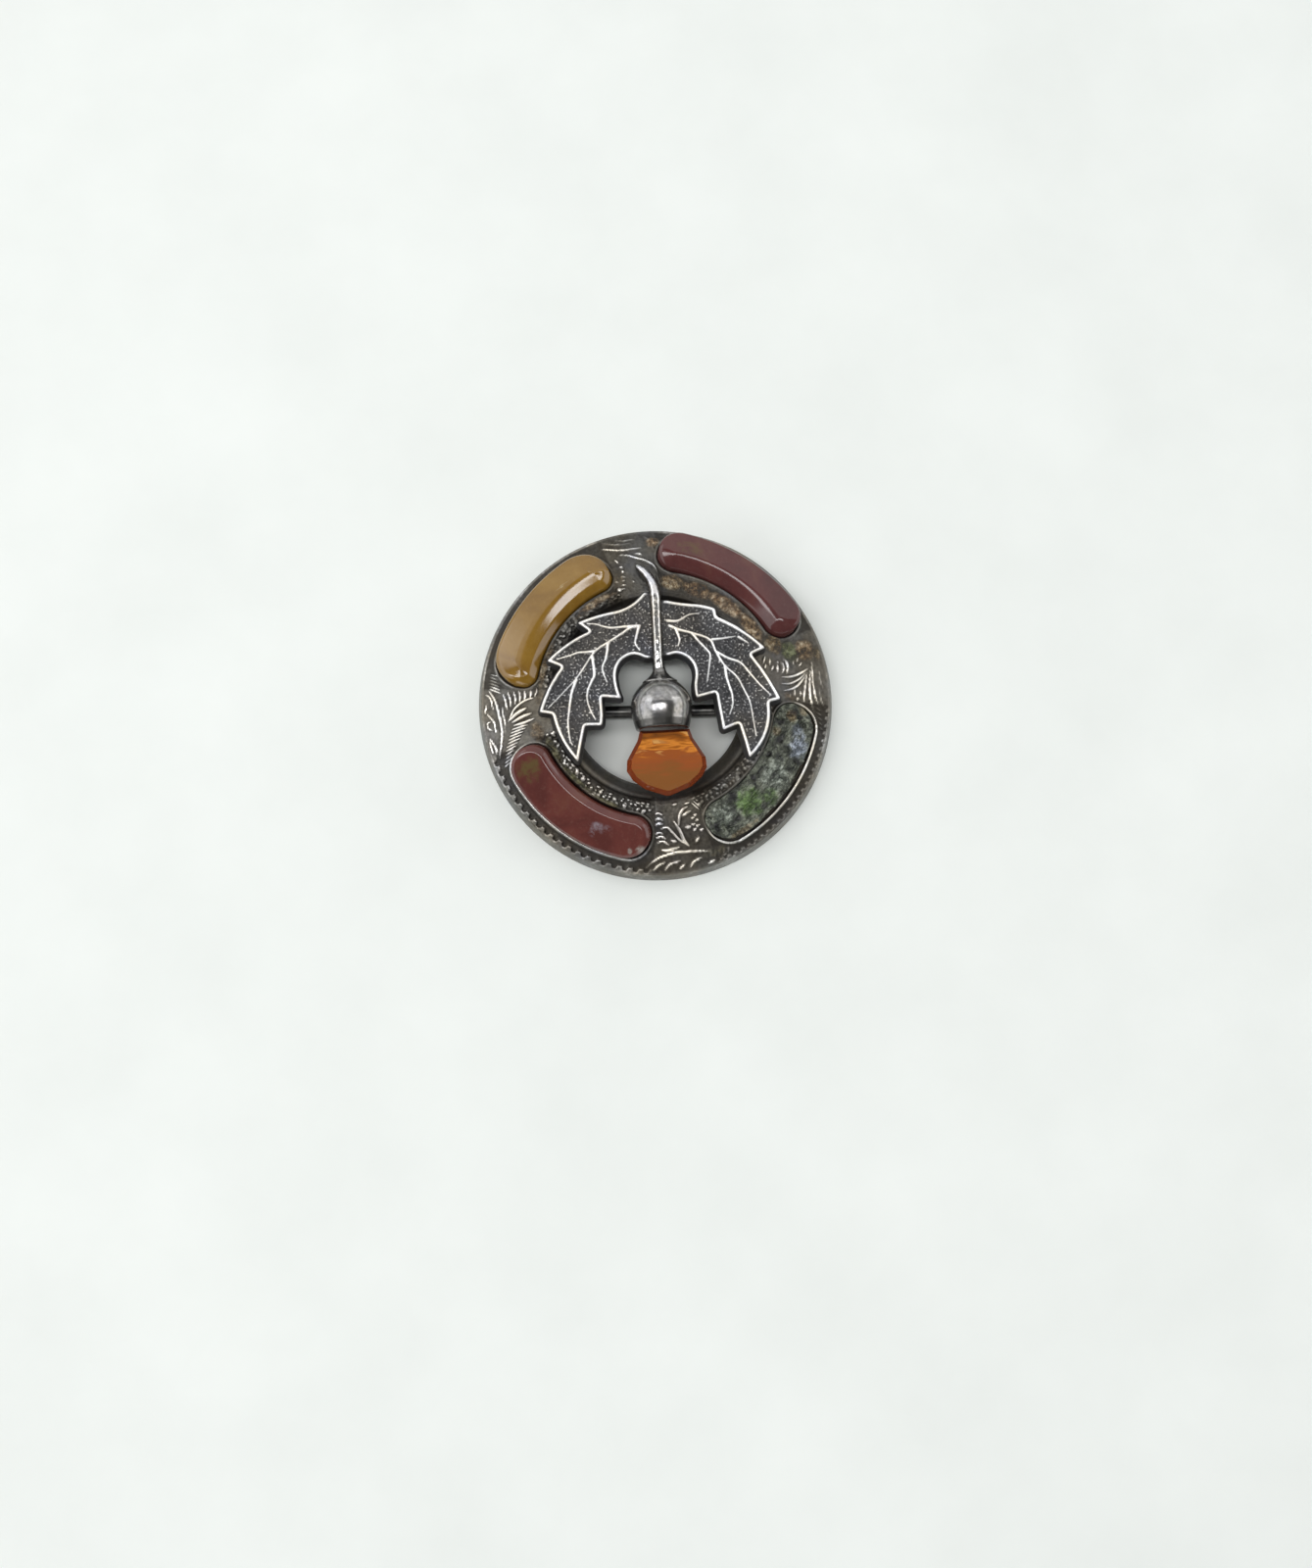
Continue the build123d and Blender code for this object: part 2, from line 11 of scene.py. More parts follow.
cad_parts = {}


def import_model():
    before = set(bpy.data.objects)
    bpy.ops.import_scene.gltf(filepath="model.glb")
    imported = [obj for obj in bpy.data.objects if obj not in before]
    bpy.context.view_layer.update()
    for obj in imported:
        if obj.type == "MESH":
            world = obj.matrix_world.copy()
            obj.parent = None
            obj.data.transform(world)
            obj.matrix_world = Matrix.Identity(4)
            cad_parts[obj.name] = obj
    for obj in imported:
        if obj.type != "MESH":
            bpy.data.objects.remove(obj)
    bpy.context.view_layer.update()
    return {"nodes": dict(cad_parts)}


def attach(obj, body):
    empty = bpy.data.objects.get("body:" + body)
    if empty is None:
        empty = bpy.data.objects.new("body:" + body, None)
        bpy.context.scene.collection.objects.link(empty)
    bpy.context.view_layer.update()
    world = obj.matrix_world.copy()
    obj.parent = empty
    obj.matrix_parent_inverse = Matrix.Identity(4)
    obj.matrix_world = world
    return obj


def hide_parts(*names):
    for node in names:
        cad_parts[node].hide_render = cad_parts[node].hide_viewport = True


MM = 0.001

# The camera, in the frame's millimetres, for a picture 1339 wide and 1600 high.
IMAGE_WIDTH, IMAGE_HEIGHT = 1339, 1600
FOCAL_PIXELS = 1343.0
SENSOR_WIDTH = 36.0
CAMERA_DISTANCE = 142.0
CAMERA_TILT = 10.0
CAMERA_AZIMUTH = -10.0
CAMERA_ROLL = 3.4
CENTRE_PIXEL = (669.3, 718.2)
CAMERA_CLIPS = (0.005, 10.0)

# The ring, as in the frame's own solid.
RIM_RADIUS = 19.0
RIM_TOP_RADIUS = 18.5
RIM_HEIGHT = 2.0
RIM_INNER_RADIUS = 18.1
HOLLOW_RADIUS = 17.2
HOLE_RADIUS = 9.14
HOLE_LIP_RADIUS = 9.64
HOLE_LIP_HEIGHT = 1.9
SLOPE_TOP_RADIUS = 10.89
SLOPE_TOP_HEIGHT = 4.15
CREST_RADIUS = 11.34
CREST_HEIGHT = 4.3
DOME_SWELL = 0.2
POCKET_MID_RADIUS = 14.9
POCKET_WIDTH = 4.8
POCKET_DEPTH = 0.95
POCKET_FLOOR = 0.7
LIP_OFFSET = 0.14

# Each pocket: its node, whether beads line it, its middle and span in degrees, its middle radius
# and its width in millimetres, the share of its width that its ends' outer corners are rounded
# by, and its lip's half width, height and brightness. Then the groove outside it: the step and
# width of its notches along the rim, and how far they reach outward and the groove down.
POCKET_COLUMNS = (
    "node", "beaded", "middle", "span", "radius", "width", "outer_round",
    "lip", "lip_height", "lip_wear", "step", "notch", "reach", "depth",
)
POCKETS = (
    ("stone_red_upper", 0, 54.5, 64.0, 15.750, 4.176, 0.57, 0.15, 0.10, 0.1, 0.0, 0.0, 0.0, 0.16),
    ("stone_ochre", 1, 139.5, 66.0, 15.015, 4.848, 0.70, 0.15, 0.10, 0.1, 0.0, 0.0, 0.0, 0.16),
    ("stone_red_lower", 1, 231.0, 67.5, 14.790, 4.579, 0.60, 0.15, 0.12, 0.2, 1.16, 0.66, 0.40, 0.30),
    ("pocket_cement", 1, 321.2, 66.5, 14.804, 4.656, 0.64, 0.13, 0.22, 0.75, 0.83, 0.46, 0.26, 0.20),
)
INNER_LIP_SHARE = 0.45
GROOVE_BORDER = 0.14

# The relief grid: how many steps round and across the part of the ring that is chased. The
# rows lie closer where the beads are: shares of the rows and the radii that they reach.
FINE_TURNS = 1200
COARSE_SHARE = 4
RELIEF_ROWS = 74
RELIEF_INNER_RADIUS = 10.6
ROW_PLACES = ((0.0, RELIEF_INNER_RADIUS), (0.05, 10.95), (0.36, 12.6), (1.0, RIM_TOP_RADIUS))
TEXTURE_HEIGHT = 0.03

# Rows of beads along the inner side of the pockets: each row's radius, and how far it is shifted
# along itself as a share of the beads' step. A row reaches past its pocket's span by the overrun
# in degrees. Each bead strays, leans and differs from the others within these ranges.
BEAD_ROWS = ((11.15, 0.0), (11.58, 0.5), (11.98, 0.0))
BEAD_STEP = 0.56
BEAD_RADIUS = 0.27
BEAD_HEIGHT = 0.34
BEAD_OVERRUN = 3.0
BEAD_STRAY_TURN = 0.7
BEAD_STRAY = 0.12
BEAD_SHEAR = 0.5
BEAD_SIZES = (0.6, 1.25)
BEAD_RISES = (0.4, 1.0)

# Crust left on the ring: its place in degrees and radius, how far it spreads each way in
# degrees and millimetres, how much of it is brown rather than green, and how thick it lies.
CRUST_COLUMNS = ("turn", "radius", "half_turn", "half_width", "brown", "amount")
CRUSTS = (
    (79.0, 12.5, 7.0, 1.0, 0.8, 1.0),
    (66.0, 12.3, 9.0, 0.9, 0.95, 1.0),
    (50.0, 12.4, 11.0, 0.9, 1.0, 1.0),
    (34.0, 12.5, 10.0, 0.9, 0.9, 1.0),
    (22.0, 13.6, 6.0, 1.0, 0.75, 0.9),
    (16.5, 14.9, 5.0, 1.0, 0.15, 1.0),
    (15.5, 16.6, 4.5, 1.2, 0.85, 1.0),
    (13.5, 17.8, 3.0, 0.6, 0.7, 0.7),
    (88.0, 17.1, 3.0, 0.7, 1.0, 0.8),
    (104.0, 13.0, 4.0, 1.4, 0.7, 0.45),
    (120.0, 11.9, 14.0, 0.5, 0.9, 0.75),
    (160.0, 12.2, 14.0, 0.5, 0.8, 0.75),
    (177.0, 12.2, 6.0, 0.7, 0.8, 0.5),
    (193.0, 13.0, 6.0, 0.9, 0.85, 0.6),
    (205.0, 12.2, 9.0, 0.6, 0.35, 0.8),
    (222.0, 12.1, 12.0, 0.35, 0.3, 0.8),
    (243.0, 12.2, 10.0, 0.35, 0.35, 0.7),
    (306.0, 11.9, 12.0, 0.4, 0.7, 0.35),
    (357.5, 14.0, 3.0, 0.8, 0.8, 0.5),
    (288.0, 17.2, 6.0, 0.6, 0.4, 0.5),
)
CRUST_HEIGHT = 0.26
CRUST_BURIES = 0.55

# The chased ornament, a raised stroke for each row: its half width and height in millimetres,
# and the points that it runs through, each as degrees from +X and a radius.
STROKE_COLUMNS = ("half_width", "height", "points")
STROKE_TAPER = 0.45
TOP_PANEL = (
    (0.13, 0.24, ((106.6, 17.35), (103.5, 16.9), (99.8, 16.55), (92.4, 16.45))),
    (0.12, 0.22, ((101.4, 16.05), (98.0, 15.8), (94.9, 15.35), (91.2, 14.9), (87.6, 14.2), (85.4, 13.0))),
    (0.16, 0.18, ((95.3, 15.9), (93.4, 15.8), (92.4, 15.6))),
    (0.10, 0.14, ((105.5, 18.0), (101.5, 17.4), (96.0, 17.2))),
    (0.10, 0.14, ((101.0, 17.9), (97.5, 17.6), (93.5, 17.7))),
    (0.10, 0.12, ((91.0, 17.9), (89.0, 17.2), (87.6, 16.2))),
    (0.12, 0.20, ((103.3, 15.6), (102.2, 15.1))),
    (0.13, 0.22, ((102.3, 14.6), (100.8, 14.5))),
    (0.13, 0.24, ((102.1, 14.0), (100.8, 14.0))),
    (0.12, 0.20, ((103.0, 13.5), (101.0, 13.3))),
    (0.15, 0.24, ((106.2, 13.1), (104.9, 12.9))),
    (0.12, 0.20, ((103.2, 13.0), (101.4, 12.9))),
    (0.14, 0.22, ((104.0, 12.5), (101.6, 12.4))),
    (0.13, 0.20, ((105.5, 12.1), (102.5, 12.0))),
    (0.11, 0.16, ((98.4, 12.65), (97.2, 12.6))),
)
LEFT_PANEL = (
    (0.17, 0.26, ((197.5, 17.6), (193.0, 16.95), (188.0, 16.55), (181.5, 16.7), (177.0, 17.05),
                  (173.8, 17.7))),
    (0.10, 0.18, ((189.5, 16.2), (184.5, 16.15), (179.0, 16.3))),
    (0.14, 0.22, ((196.0, 17.72), (193.5, 17.68), (190.3, 18.0))),
    (0.10, 0.20, ((195.3, 18.1), (192.5, 18.12), (190.6, 18.05))),
    (0.12, 0.22, ((188.8, 17.2), (184.8, 17.3), (181.8, 17.9))),
    (0.10, 0.20, ((187.7, 17.6), (186.6, 17.95), (184.9, 17.95), (184.6, 17.6))),
    (0.12, 0.22, ((180.4, 17.25), (176.6, 17.5), (175.0, 18.05))),
    (0.10, 0.18, ((181.6, 18.1), (180.0, 18.05), (178.2, 17.9))),
    (0.15, 0.24, ((185.8, 15.7), (181.2, 14.9), (178.2, 13.8), (177.2, 12.9))),
    (0.24, 0.26, ((185.3, 15.5), (183.0, 14.6), (181.5, 13.7))),
    (0.22, 0.24, ((186.4, 15.3), (185.0, 14.2), (184.2, 13.2))),
    (0.20, 0.22, ((187.8, 15.2), (187.6, 14.1), (186.8, 13.0))),
    (0.13, 0.22, ((181.2, 15.75), (178.0, 15.85), (175.0, 16.15))),
    (0.13, 0.22, ((180.2, 15.3), (177.4, 15.35), (174.2, 15.65))),
    (0.13, 0.22, ((179.4, 14.85), (177.0, 14.8), (173.8, 15.05))),
    (0.13, 0.22, ((178.9, 14.35), (176.4, 14.3), (173.7, 14.45))),
    (0.13, 0.22, ((178.3, 13.85), (176.0, 13.75), (173.8, 13.85))),
    (0.13, 0.22, ((177.8, 13.3), (175.8, 13.15), (173.4, 13.15))),
    (0.15, 0.24, ((176.8, 12.75), (174.6, 12.55), (172.3, 12.6))),
)
BOTTOM_PANEL = (
    (0.17, 0.24, ((286.0, 17.0), (282.5, 16.65), (278.0, 16.4), (273.0, 16.35), (268.5, 16.65),
                  (265.4, 17.15), (263.2, 17.85))),
    (0.20, 0.26, ((275.2, 15.85), (272.0, 16.0), (268.8, 16.0))),
    (0.14, 0.24, ((286.6, 18.0), (284.2, 18.15))),
    (0.13, 0.22, ((291.2, 17.8), (289.6, 17.95))),
    (0.14, 0.24, ((282.5, 17.35), (279.8, 17.55), (278.2, 18.0))),
    (0.13, 0.22, ((276.6, 17.65), (274.3, 18.05))),
    (0.14, 0.24, ((275.0, 17.25), (271.5, 17.45), (269.5, 18.05))),
    (0.13, 0.22, ((269.8, 17.25), (267.6, 17.5), (265.8, 18.0))),
    (0.22, 0.24, ((279.0, 15.9), (277.5, 15.2), (276.5, 14.2), (274.6, 13.2))),
    (0.14, 0.26, ((278.2, 15.7), (275.5, 15.0), (273.0, 14.15), (271.2, 13.7), (268.7, 13.8))),
    (0.17, 0.26, ((283.6, 15.25), (281.8, 15.65))),
    (0.15, 0.26, ((286.2, 14.55), (284.6, 14.65))),
    (0.15, 0.26, ((283.4, 14.3), (282.0, 14.5))),
    (0.15, 0.26, ((285.2, 14.05), (283.6, 14.15))),
    (0.20, 0.28, ((281.4, 14.0), (279.2, 13.95))),
    (0.15, 0.26, ((283.4, 13.85), (282.0, 13.85))),
    (0.15, 0.26, ((285.4, 13.5), (284.0, 13.6))),
    (0.15, 0.26, ((283.8, 13.15), (282.4, 13.25))),
    (0.15, 0.24, ((285.2, 12.95), (283.8, 13.0))),
    (0.18, 0.26, ((283.0, 12.45), (280.8, 12.55), (278.6, 12.75))),
    (0.20, 0.28, ((282.0, 11.95), (279.2, 12.15), (277.2, 12.8), (276.4, 13.6))),
    (0.14, 0.22, ((283.6, 11.6), (281.0, 11.6))),
    (0.16, 0.24, ((277.0, 11.4), (274.8, 11.5))),
    (0.12, 0.20, ((288.6, 12.6), (285.8, 11.6))),
    (0.12, 0.20, ((287.2, 12.6), (284.6, 11.7))),
    (0.16, 0.26, ((274.4, 15.2), (272.4, 15.05))),
    (0.13, 0.22, ((271.5, 15.5), (269.4, 15.1), (267.0, 15.2))),
    (0.13, 0.22, ((270.6, 14.9), (268.6, 14.6), (266.4, 14.75))),
    (0.13, 0.22, ((269.4, 14.35), (267.8, 14.2), (266.0, 14.35))),
    (0.13, 0.22, ((269.4, 13.35), (267.6, 13.25), (265.8, 13.5))),
    (0.13, 0.22, ((269.6, 12.95), (267.6, 12.75), (266.0, 12.95))),
    (0.13, 0.22, ((269.4, 12.4), (267.4, 12.2), (265.8, 12.35))),
)
RIGHT_PANEL = (
    (0.14, 0.24, ((10.6, 17.0), (6.5, 16.8), (2.6, 16.72), (-1.7, 16.85), (-5.2, 17.2))),
    (0.16, 0.26, ((7.6, 16.65), (3.2, 16.35), (-1.6, 16.3), (-5.0, 16.45), (-8.0, 16.75))),
    (0.14, 0.24, ((6.8, 16.2), (3.2, 15.9), (-1.2, 15.65), (-4.6, 15.6))),
    (0.20, 0.22, ((8.4, 16.4), (7.0, 15.5), (5.9, 14.4), (6.2, 13.4))),
    (0.18, 0.22, ((6.0, 16.0), (2.8, 15.2), (0.8, 14.4), (0.0, 13.5))),
    (0.16, 0.20, ((7.0, 16.1), (4.4, 15.1), (3.0, 14.1), (3.2, 13.3))),
    (0.15, 0.26, ((-0.3, 15.2), (-2.2, 15.25))),
    (0.15, 0.26, ((-2.8, 14.9), (-4.0, 14.85))),
    (0.14, 0.24, ((-1.2, 14.1), (-3.2, 14.05))),
    (0.14, 0.22, ((0.4, 14.6), (-2.4, 14.55))),
    (0.16, 0.24, ((14.2, 14.1), (11.2, 14.3), (7.4, 14.0))),
    (0.13, 0.22, ((13.4, 13.75), (10.2, 13.8), (8.0, 13.55))),
    (0.15, 0.26, ((12.2, 13.2), (8.8, 13.05))),
    (0.13, 0.22, ((13.8, 13.35), (12.6, 13.3))),
    (0.15, 0.26, ((15.8, 12.6), (12.6, 12.35))),
    (0.15, 0.24, ((12.2, 12.75), (9.8, 12.4))),
    (0.15, 0.26, ((17.6, 12.2), (14.2, 11.7))),
    (0.13, 0.22, ((13.8, 12.0), (11.4, 11.75))),
    (0.12, 0.20, ((13.2, 15.6), (11.4, 15.35))),
    (0.12, 0.20, ((13.0, 15.1), (10.6, 14.9))),
    (0.12, 0.20, ((11.2, 15.9), (9.6, 15.5))),
    (0.10, 0.14, ((8.0, 17.7), (4.4, 17.55), (0.8, 17.75))),
    (0.10, 0.14, ((0.6, 17.35), (-3.2, 17.5), (-6.2, 17.9))),
)
# Rows of short slanted strokes: the first and last stroke's two ends, how many there are, and
# their half width and height.
HATCH_COLUMNS = ("first", "last", "count", "half_width", "height")
HATCHES = (
    (((201.0, 17.5), (200.3, 16.75)), ((189.2, 15.5), (188.9, 13.8)), 11, 0.12, 0.26),
    (((174.6, 16.5), (173.0, 17.7)), ((168.6, 16.9), (167.8, 17.8)), 6, 0.12, 0.24),
    (((293.0, 17.2), (291.6, 17.9)), ((286.5, 17.0), (285.6, 17.5)), 5, 0.11, 0.18),
    (((-6.0, 16.9), (-7.2, 17.6)), ((-12.5, 17.4), (-13.5, 18.0)), 5, 0.11, 0.18),
    (((86.5, 13.2), (85.0, 11.9)), ((70.0, 12.7), (68.5, 11.8)), 12, 0.13, 0.20),
    (((169.0, 12.4), (167.8, 11.9)), ((163.5, 12.3), (162.3, 11.8)), 4, 0.12, 0.22),
)

# The thistle spray.
SPRAY_AXIS_X = 0.4
LEAF_REACH = 12.5
LEAF_UNDERSIDE = 3.7
LEAF_TOP = 5.25
LEAF_FOOT_FLARE = 0.28
LEAF_FOOT_THICKNESS = 0.8
LEAF_WALL_WEAR = 0.22
LEAF_GRID = 0.1
OUTLINE_STEP = 0.16
RIDGE_WIDTH = 0.3
RIDGE_HEIGHT = 0.24
VEIN_HALF_WIDTH = 0.17
STEM_RADIUS = 0.58
STEM_SIDES = 28
STEM_DENT = 0.035
BALL_Y = -1.4
BALL_SIDES = 96
BALL_DENT = 0.012
# Below this height the ball carries painted shade: a low mask value makes its lower band darker.
BALL_PAINTED_SHADE_HEIGHT = -1.45

# The leaves' corners as shares of LEAF_REACH from the spray's axis and from the ring's centre,
# and how far the run to the next corner bows out as a share of its length. The veins' points
# are shares of LEAF_REACH too.
LEAF_COLUMNS = ("across", "up", "bend")
LEFT_LEAF = (
    (0.000, 0.873, 0.0),
    (0.091, 0.873, -0.10),
    (0.353, 0.724, 0.03),
    (0.659, 0.644, 0.0),
    (0.561, 0.567, 0.05),
    (0.927, 0.335, 0.0),
    (0.808, 0.279, 0.05),
    (1.010, -0.093, 0.0),
    (0.901, -0.114, 0.07),
    (0.712, -0.525, 0.0),
    (0.680, -0.385, 0.0),
    (0.640, -0.224, 0.0),
    (0.498, -0.230, 0.0),
    (0.486, -0.142, 0.0),
    (0.490, 0.010, 0.0),
    (0.324, -0.014, -0.06),
    (0.362, 0.202, -0.17),
    (0.215, 0.353, -0.08),
    (0.109, 0.313, 0.0),
    (0.000, 0.313, 0.0),
)
RIGHT_LEAF = (
    (0.000, 0.796, 0.0),
    (0.093, 0.796, -0.02),
    (0.312, 0.754, 0.04),
    (0.498, 0.705, 0.0),
    (0.505, 0.632, 0.05),
    (0.894, 0.348, 0.0),
    (0.774, 0.301, 0.03),
    (0.993, -0.090, 0.0),
    (0.896, -0.108, 0.13),
    (0.701, -0.566, 0.0),
    (0.672, -0.426, 0.0),
    (0.634, -0.276, 0.0),
    (0.498, -0.324, 0.0),
    (0.472, -0.120, 0.0),
    (0.459, -0.006, 0.0),
    (0.293, -0.042, 0.07),
    (0.298, 0.140, -0.21),
    (0.154, 0.342, -0.08),
    (0.098, 0.329, 0.0),
    (0.000, 0.329, 0.0),
)
LEFT_VEINS = (
    ((0.144, 0.592), (0.218, 0.579), (0.294, 0.533), (0.391, 0.477), (0.492, 0.419), (0.552, 0.364),
     (0.614, 0.277), (0.692, 0.174), (0.794, 0.072), (0.934, -0.060)),
    ((0.144, 0.592), (0.262, 0.592), (0.369, 0.587), (0.442, 0.602), (0.506, 0.624), (0.575, 0.634)),
    ((0.534, 0.397), (0.599, 0.392), (0.664, 0.392), (0.738, 0.370), (0.841, 0.346)),
    ((0.414, 0.456), (0.424, 0.390), (0.443, 0.317), (0.467, 0.269), (0.467, 0.215), (0.438, 0.131)),
    ((0.550, 0.352), (0.540, 0.204), (0.569, 0.138), (0.602, 0.067), (0.609, -0.012), (0.588, -0.096),
     (0.550, -0.180)),
    ((0.693, 0.160), (0.731, 0.069), (0.750, -0.013), (0.767, -0.110), (0.778, -0.200), (0.770, -0.331),
     (0.751, -0.381)),
    ((0.149, 0.578), (0.174, 0.502), (0.185, 0.444), (0.152, 0.384)),
)
RIGHT_VEINS = (
    ((0.105, 0.580), (0.185, 0.542), (0.289, 0.508), (0.433, 0.446), (0.483, 0.335), (0.549, 0.215),
     (0.641, 0.119), (0.694, 0.008), (0.737, -0.101), (0.755, -0.242), (0.770, -0.383)),
    ((0.091, 0.623), (0.181, 0.618), (0.274, 0.663), (0.361, 0.671)),
    ((0.457, 0.444), (0.547, 0.448), (0.646, 0.459)),
    ((0.680, 0.452), (0.757, 0.395)),
    ((0.289, 0.508), (0.346, 0.430), (0.410, 0.355), (0.432, 0.313), (0.418, 0.222), (0.394, 0.095)),
    ((0.549, 0.215), (0.558, 0.107), (0.591, -0.019), (0.593, -0.110), (0.563, -0.195)),
    ((0.491, 0.334), (0.577, 0.280), (0.681, 0.233), (0.756, 0.137), (0.835, 0.034), (0.915, -0.053)),
    ((0.160, 0.544), (0.184, 0.459), (0.168, 0.402)),
    ((0.498, 0.638), (0.593, 0.579), (0.708, 0.523), (0.813, 0.442), (0.880, 0.363)),
)

# The stem's line from its tip to the ball: places as shares of LEAF_REACH, and its height over
# the leaves' top and its radius as shares of STEM_RADIUS.
STEM_COLUMNS = ("across", "up", "lift", "radius")
STEM = (
    (-0.140, 1.135, -2.2, 0.30),
    (-0.118, 1.112, -1.8, 0.62),
    (-0.057, 1.038, -1.1, 0.85),
    (-0.012, 0.935, -0.2, 1.00),
    (0.002, 0.834, 0.2, 1.05),
    (0.000, 0.660, 0.3, 1.0),
    (-0.002, 0.452, 0.3, 1.0),
    (-0.004, 0.300, 0.2, 1.0),
    (-0.002, 0.215, 0.0, 1.08),
)
# The ball's outline from the stem down to its mouth: heights above its centre and radii in
# millimetres.
BALL_PROFILE = (
    (4.2, 0.62), (3.8, 0.76), (3.45, 1.0), (3.15, 1.32), (2.9, 1.66), (2.78, 1.83), (2.7, 1.82),
    (2.6, 1.88), (2.3, 2.22), (1.9, 2.57), (1.4, 2.88), (0.9, 3.07), (0.4, 3.18), (0.0, 3.2),
    (-0.5, 3.155), (-1.0, 3.06), (-1.5, 2.93), (-1.9, 2.83), (-2.1, 2.77), (-2.19, 2.7),
    (-2.2, 2.6), (-2.2, 2.35), (-2.08, 2.15), (-2.05, 0.0),
)

# The stones' slopes by the distance from their edge, in millimetres: how wide the steep edge is,
# how far the slope behind it reaches and its fall, and over how much more it turns into the face.
# The bend is how fast the face falls away towards the stone's further end round the ring.
STEEP_SLOPE = 1.15
STEEP_BLEND = 0.12
SLOPE_REACH = 3.0
SLOPE_STEPS = 300
SLOPE_BLUR = 8
STONE_COLUMNS = (
    "node",
    "inner_steep", "inner_band", "inner_slope", "inner_fade",
    "outer_steep", "outer_band", "outer_slope", "outer_fade", "bend",
)
STONES = (
    ("stone_red_upper", 0.05, 0.75, 0.93, 0.8, 0.12, 0.22, 0.5, 0.12, 0.0),
    ("stone_ochre", 0.5, 1.25, 0.505, 0.95, 0.12, 0.3, 0.4, 0.2, 0.003),
    ("stone_red_lower", 0.12, 0.42, 0.8, 0.25, 0.12, 0.25, 0.6, 0.12, 0.0),
)
# Coloured patches on each stone and the cement: hue, place in degrees and radius, spread each
# way, and strength.
STONE_HUES = ("pale", "green", "chip")
PATCH_COLUMNS = ("hue", "turn", "radius", "half_turn", "half_width", "amount")
PATCHES = {
    "stone_red_lower": (
        ("pale", 242.5, 15.3, 2.6, 0.7, 0.75),
        ("pale", 246.5, 14.7, 1.5, 0.4, 0.6),
        ("green", 207.0, 15.3, 4.5, 1.3, 0.8),
        ("chip", 260.5, 16.1, 1.6, 0.45, 1.0),
        ("chip", 257.0, 16.4, 0.8, 0.3, 0.8),
    ),
    "stone_red_upper": (
        ("green", 74.0, 16.2, 5.0, 0.9, 0.6),
    ),
    "stone_ochre": (
        ("pale", 127.0, 15.4, 0.9, 0.12, 0.8),
    ),
    "pocket_cement": (
        ("blue", 338.0, 15.8, 4.5, 0.9, 1.0),
        ("blue", 344.0, 15.2, 2.5, 0.6, 0.7),
        ("tan", 349.5, 14.3, 2.5, 0.6, 1.0),
        ("tan", 352.0, 15.6, 2.0, 0.5, 0.7),
        ("green", 308.5, 14.6, 5.5, 1.3, 1.0),
        ("green", 316.0, 15.8, 3.5, 0.8, 0.7),
        ("grey", 324.0, 14.8, 6.5, 1.4, 0.8),
        ("grey", 297.0, 14.2, 5.5, 1.2, 0.8),
        ("tan", 341.0, 13.0, 2.0, 0.5, 0.7),
        ("tan", 300.0, 16.6, 6.0, 0.3, 0.7),
        # The hole patches paint near-black shade into the cement's hollows, mostly along the pocket's
        # inner side.
        ("hole", 345.5, 13.4, 1.5, 0.5, 1.0),
        ("hole", 338.0, 13.7, 2.2, 0.5, 1.0),
        ("hole", 349.0, 15.2, 1.2, 0.4, 0.9),
        ("hole", 330.5, 13.2, 1.6, 0.4, 1.0),
        ("hole", 333.0, 16.2, 1.6, 0.5, 0.9),
        ("hole", 317.0, 13.2, 1.8, 0.4, 1.0),
        ("hole", 304.0, 13.1, 2.4, 0.4, 1.0),
        ("hole", 301.0, 15.2, 1.4, 0.4, 0.9),
        ("hole", 291.5, 14.9, 1.2, 0.6, 0.9),
        ("hole", 312.5, 16.0, 2.0, 0.35, 0.8),
    ),
}
STONE_CLEARANCE = 0.08
STONE_STAND = 1.2
STONE_SEGMENTS = 240
CEMENT_SEGMENTS = 256
STONE_LOOPS = 40

# How worn the silver is round the ring: places in degrees, the ground's wear there and a share
# of the wear that its raised work has.
WEAR_COLUMNS = ("turn", "ground", "raised")
WEAR_PLACES = (
    (0.0, 0.14, 0.66),
    (40.0, 0.0, 0.4),
    (97.0, 0.06, 0.66),
    (140.0, 0.0, 0.8),
    (172.0, 0.1, 0.85),
    (188.0, 0.14, 0.95),
    (215.0, 0.02, 1.15),
    (262.0, 0.0, 1.1),
    (278.0, 0.04, 0.78),
    (320.0, 0.0, 0.85),
    (360.0, 0.14, 0.66),
)
BASE_WEAR = 0.12
RELIEF_WEAR = 0.78
RIM_WEAR = 0.22
GROOVE_DARKENS = 0.5
CRUST_DARKENS = 0.75

# Colours of the looks. Silver goes from its tarnished hollows to its worn ridges, and polish and
# dull are its roughness when worn and when not. Jasper is cloudy between three colours.
BLACK, WHITE = (0.0, 0.0, 0.0), (1.0, 1.0, 1.0)
SILVER_COLUMNS = ("name", "colours", "polish", "dull", "metal_share", "crusted")
SILVERS = (
    ("chased_silver", ((0.060, 0.056, 0.050), (0.19, 0.185, 0.17), (0.92, 0.91, 0.88)),
     0.28, 0.55, 0.92, True),
    ("plain_silver", ((0.05, 0.048, 0.045), (0.20, 0.195, 0.185), (0.86, 0.85, 0.83)),
     0.07, 0.27, 0.92, False),
    ("leaf_silver", ((0.028, 0.028, 0.03), (0.12, 0.12, 0.123), (1.0, 1.0, 0.99)),
     0.3, 0.55, 0.6, False),
)
JASPER_COLUMNS = ("node", "slot", "look", "deep", "base", "edge", "speck", "gloss", "patches")
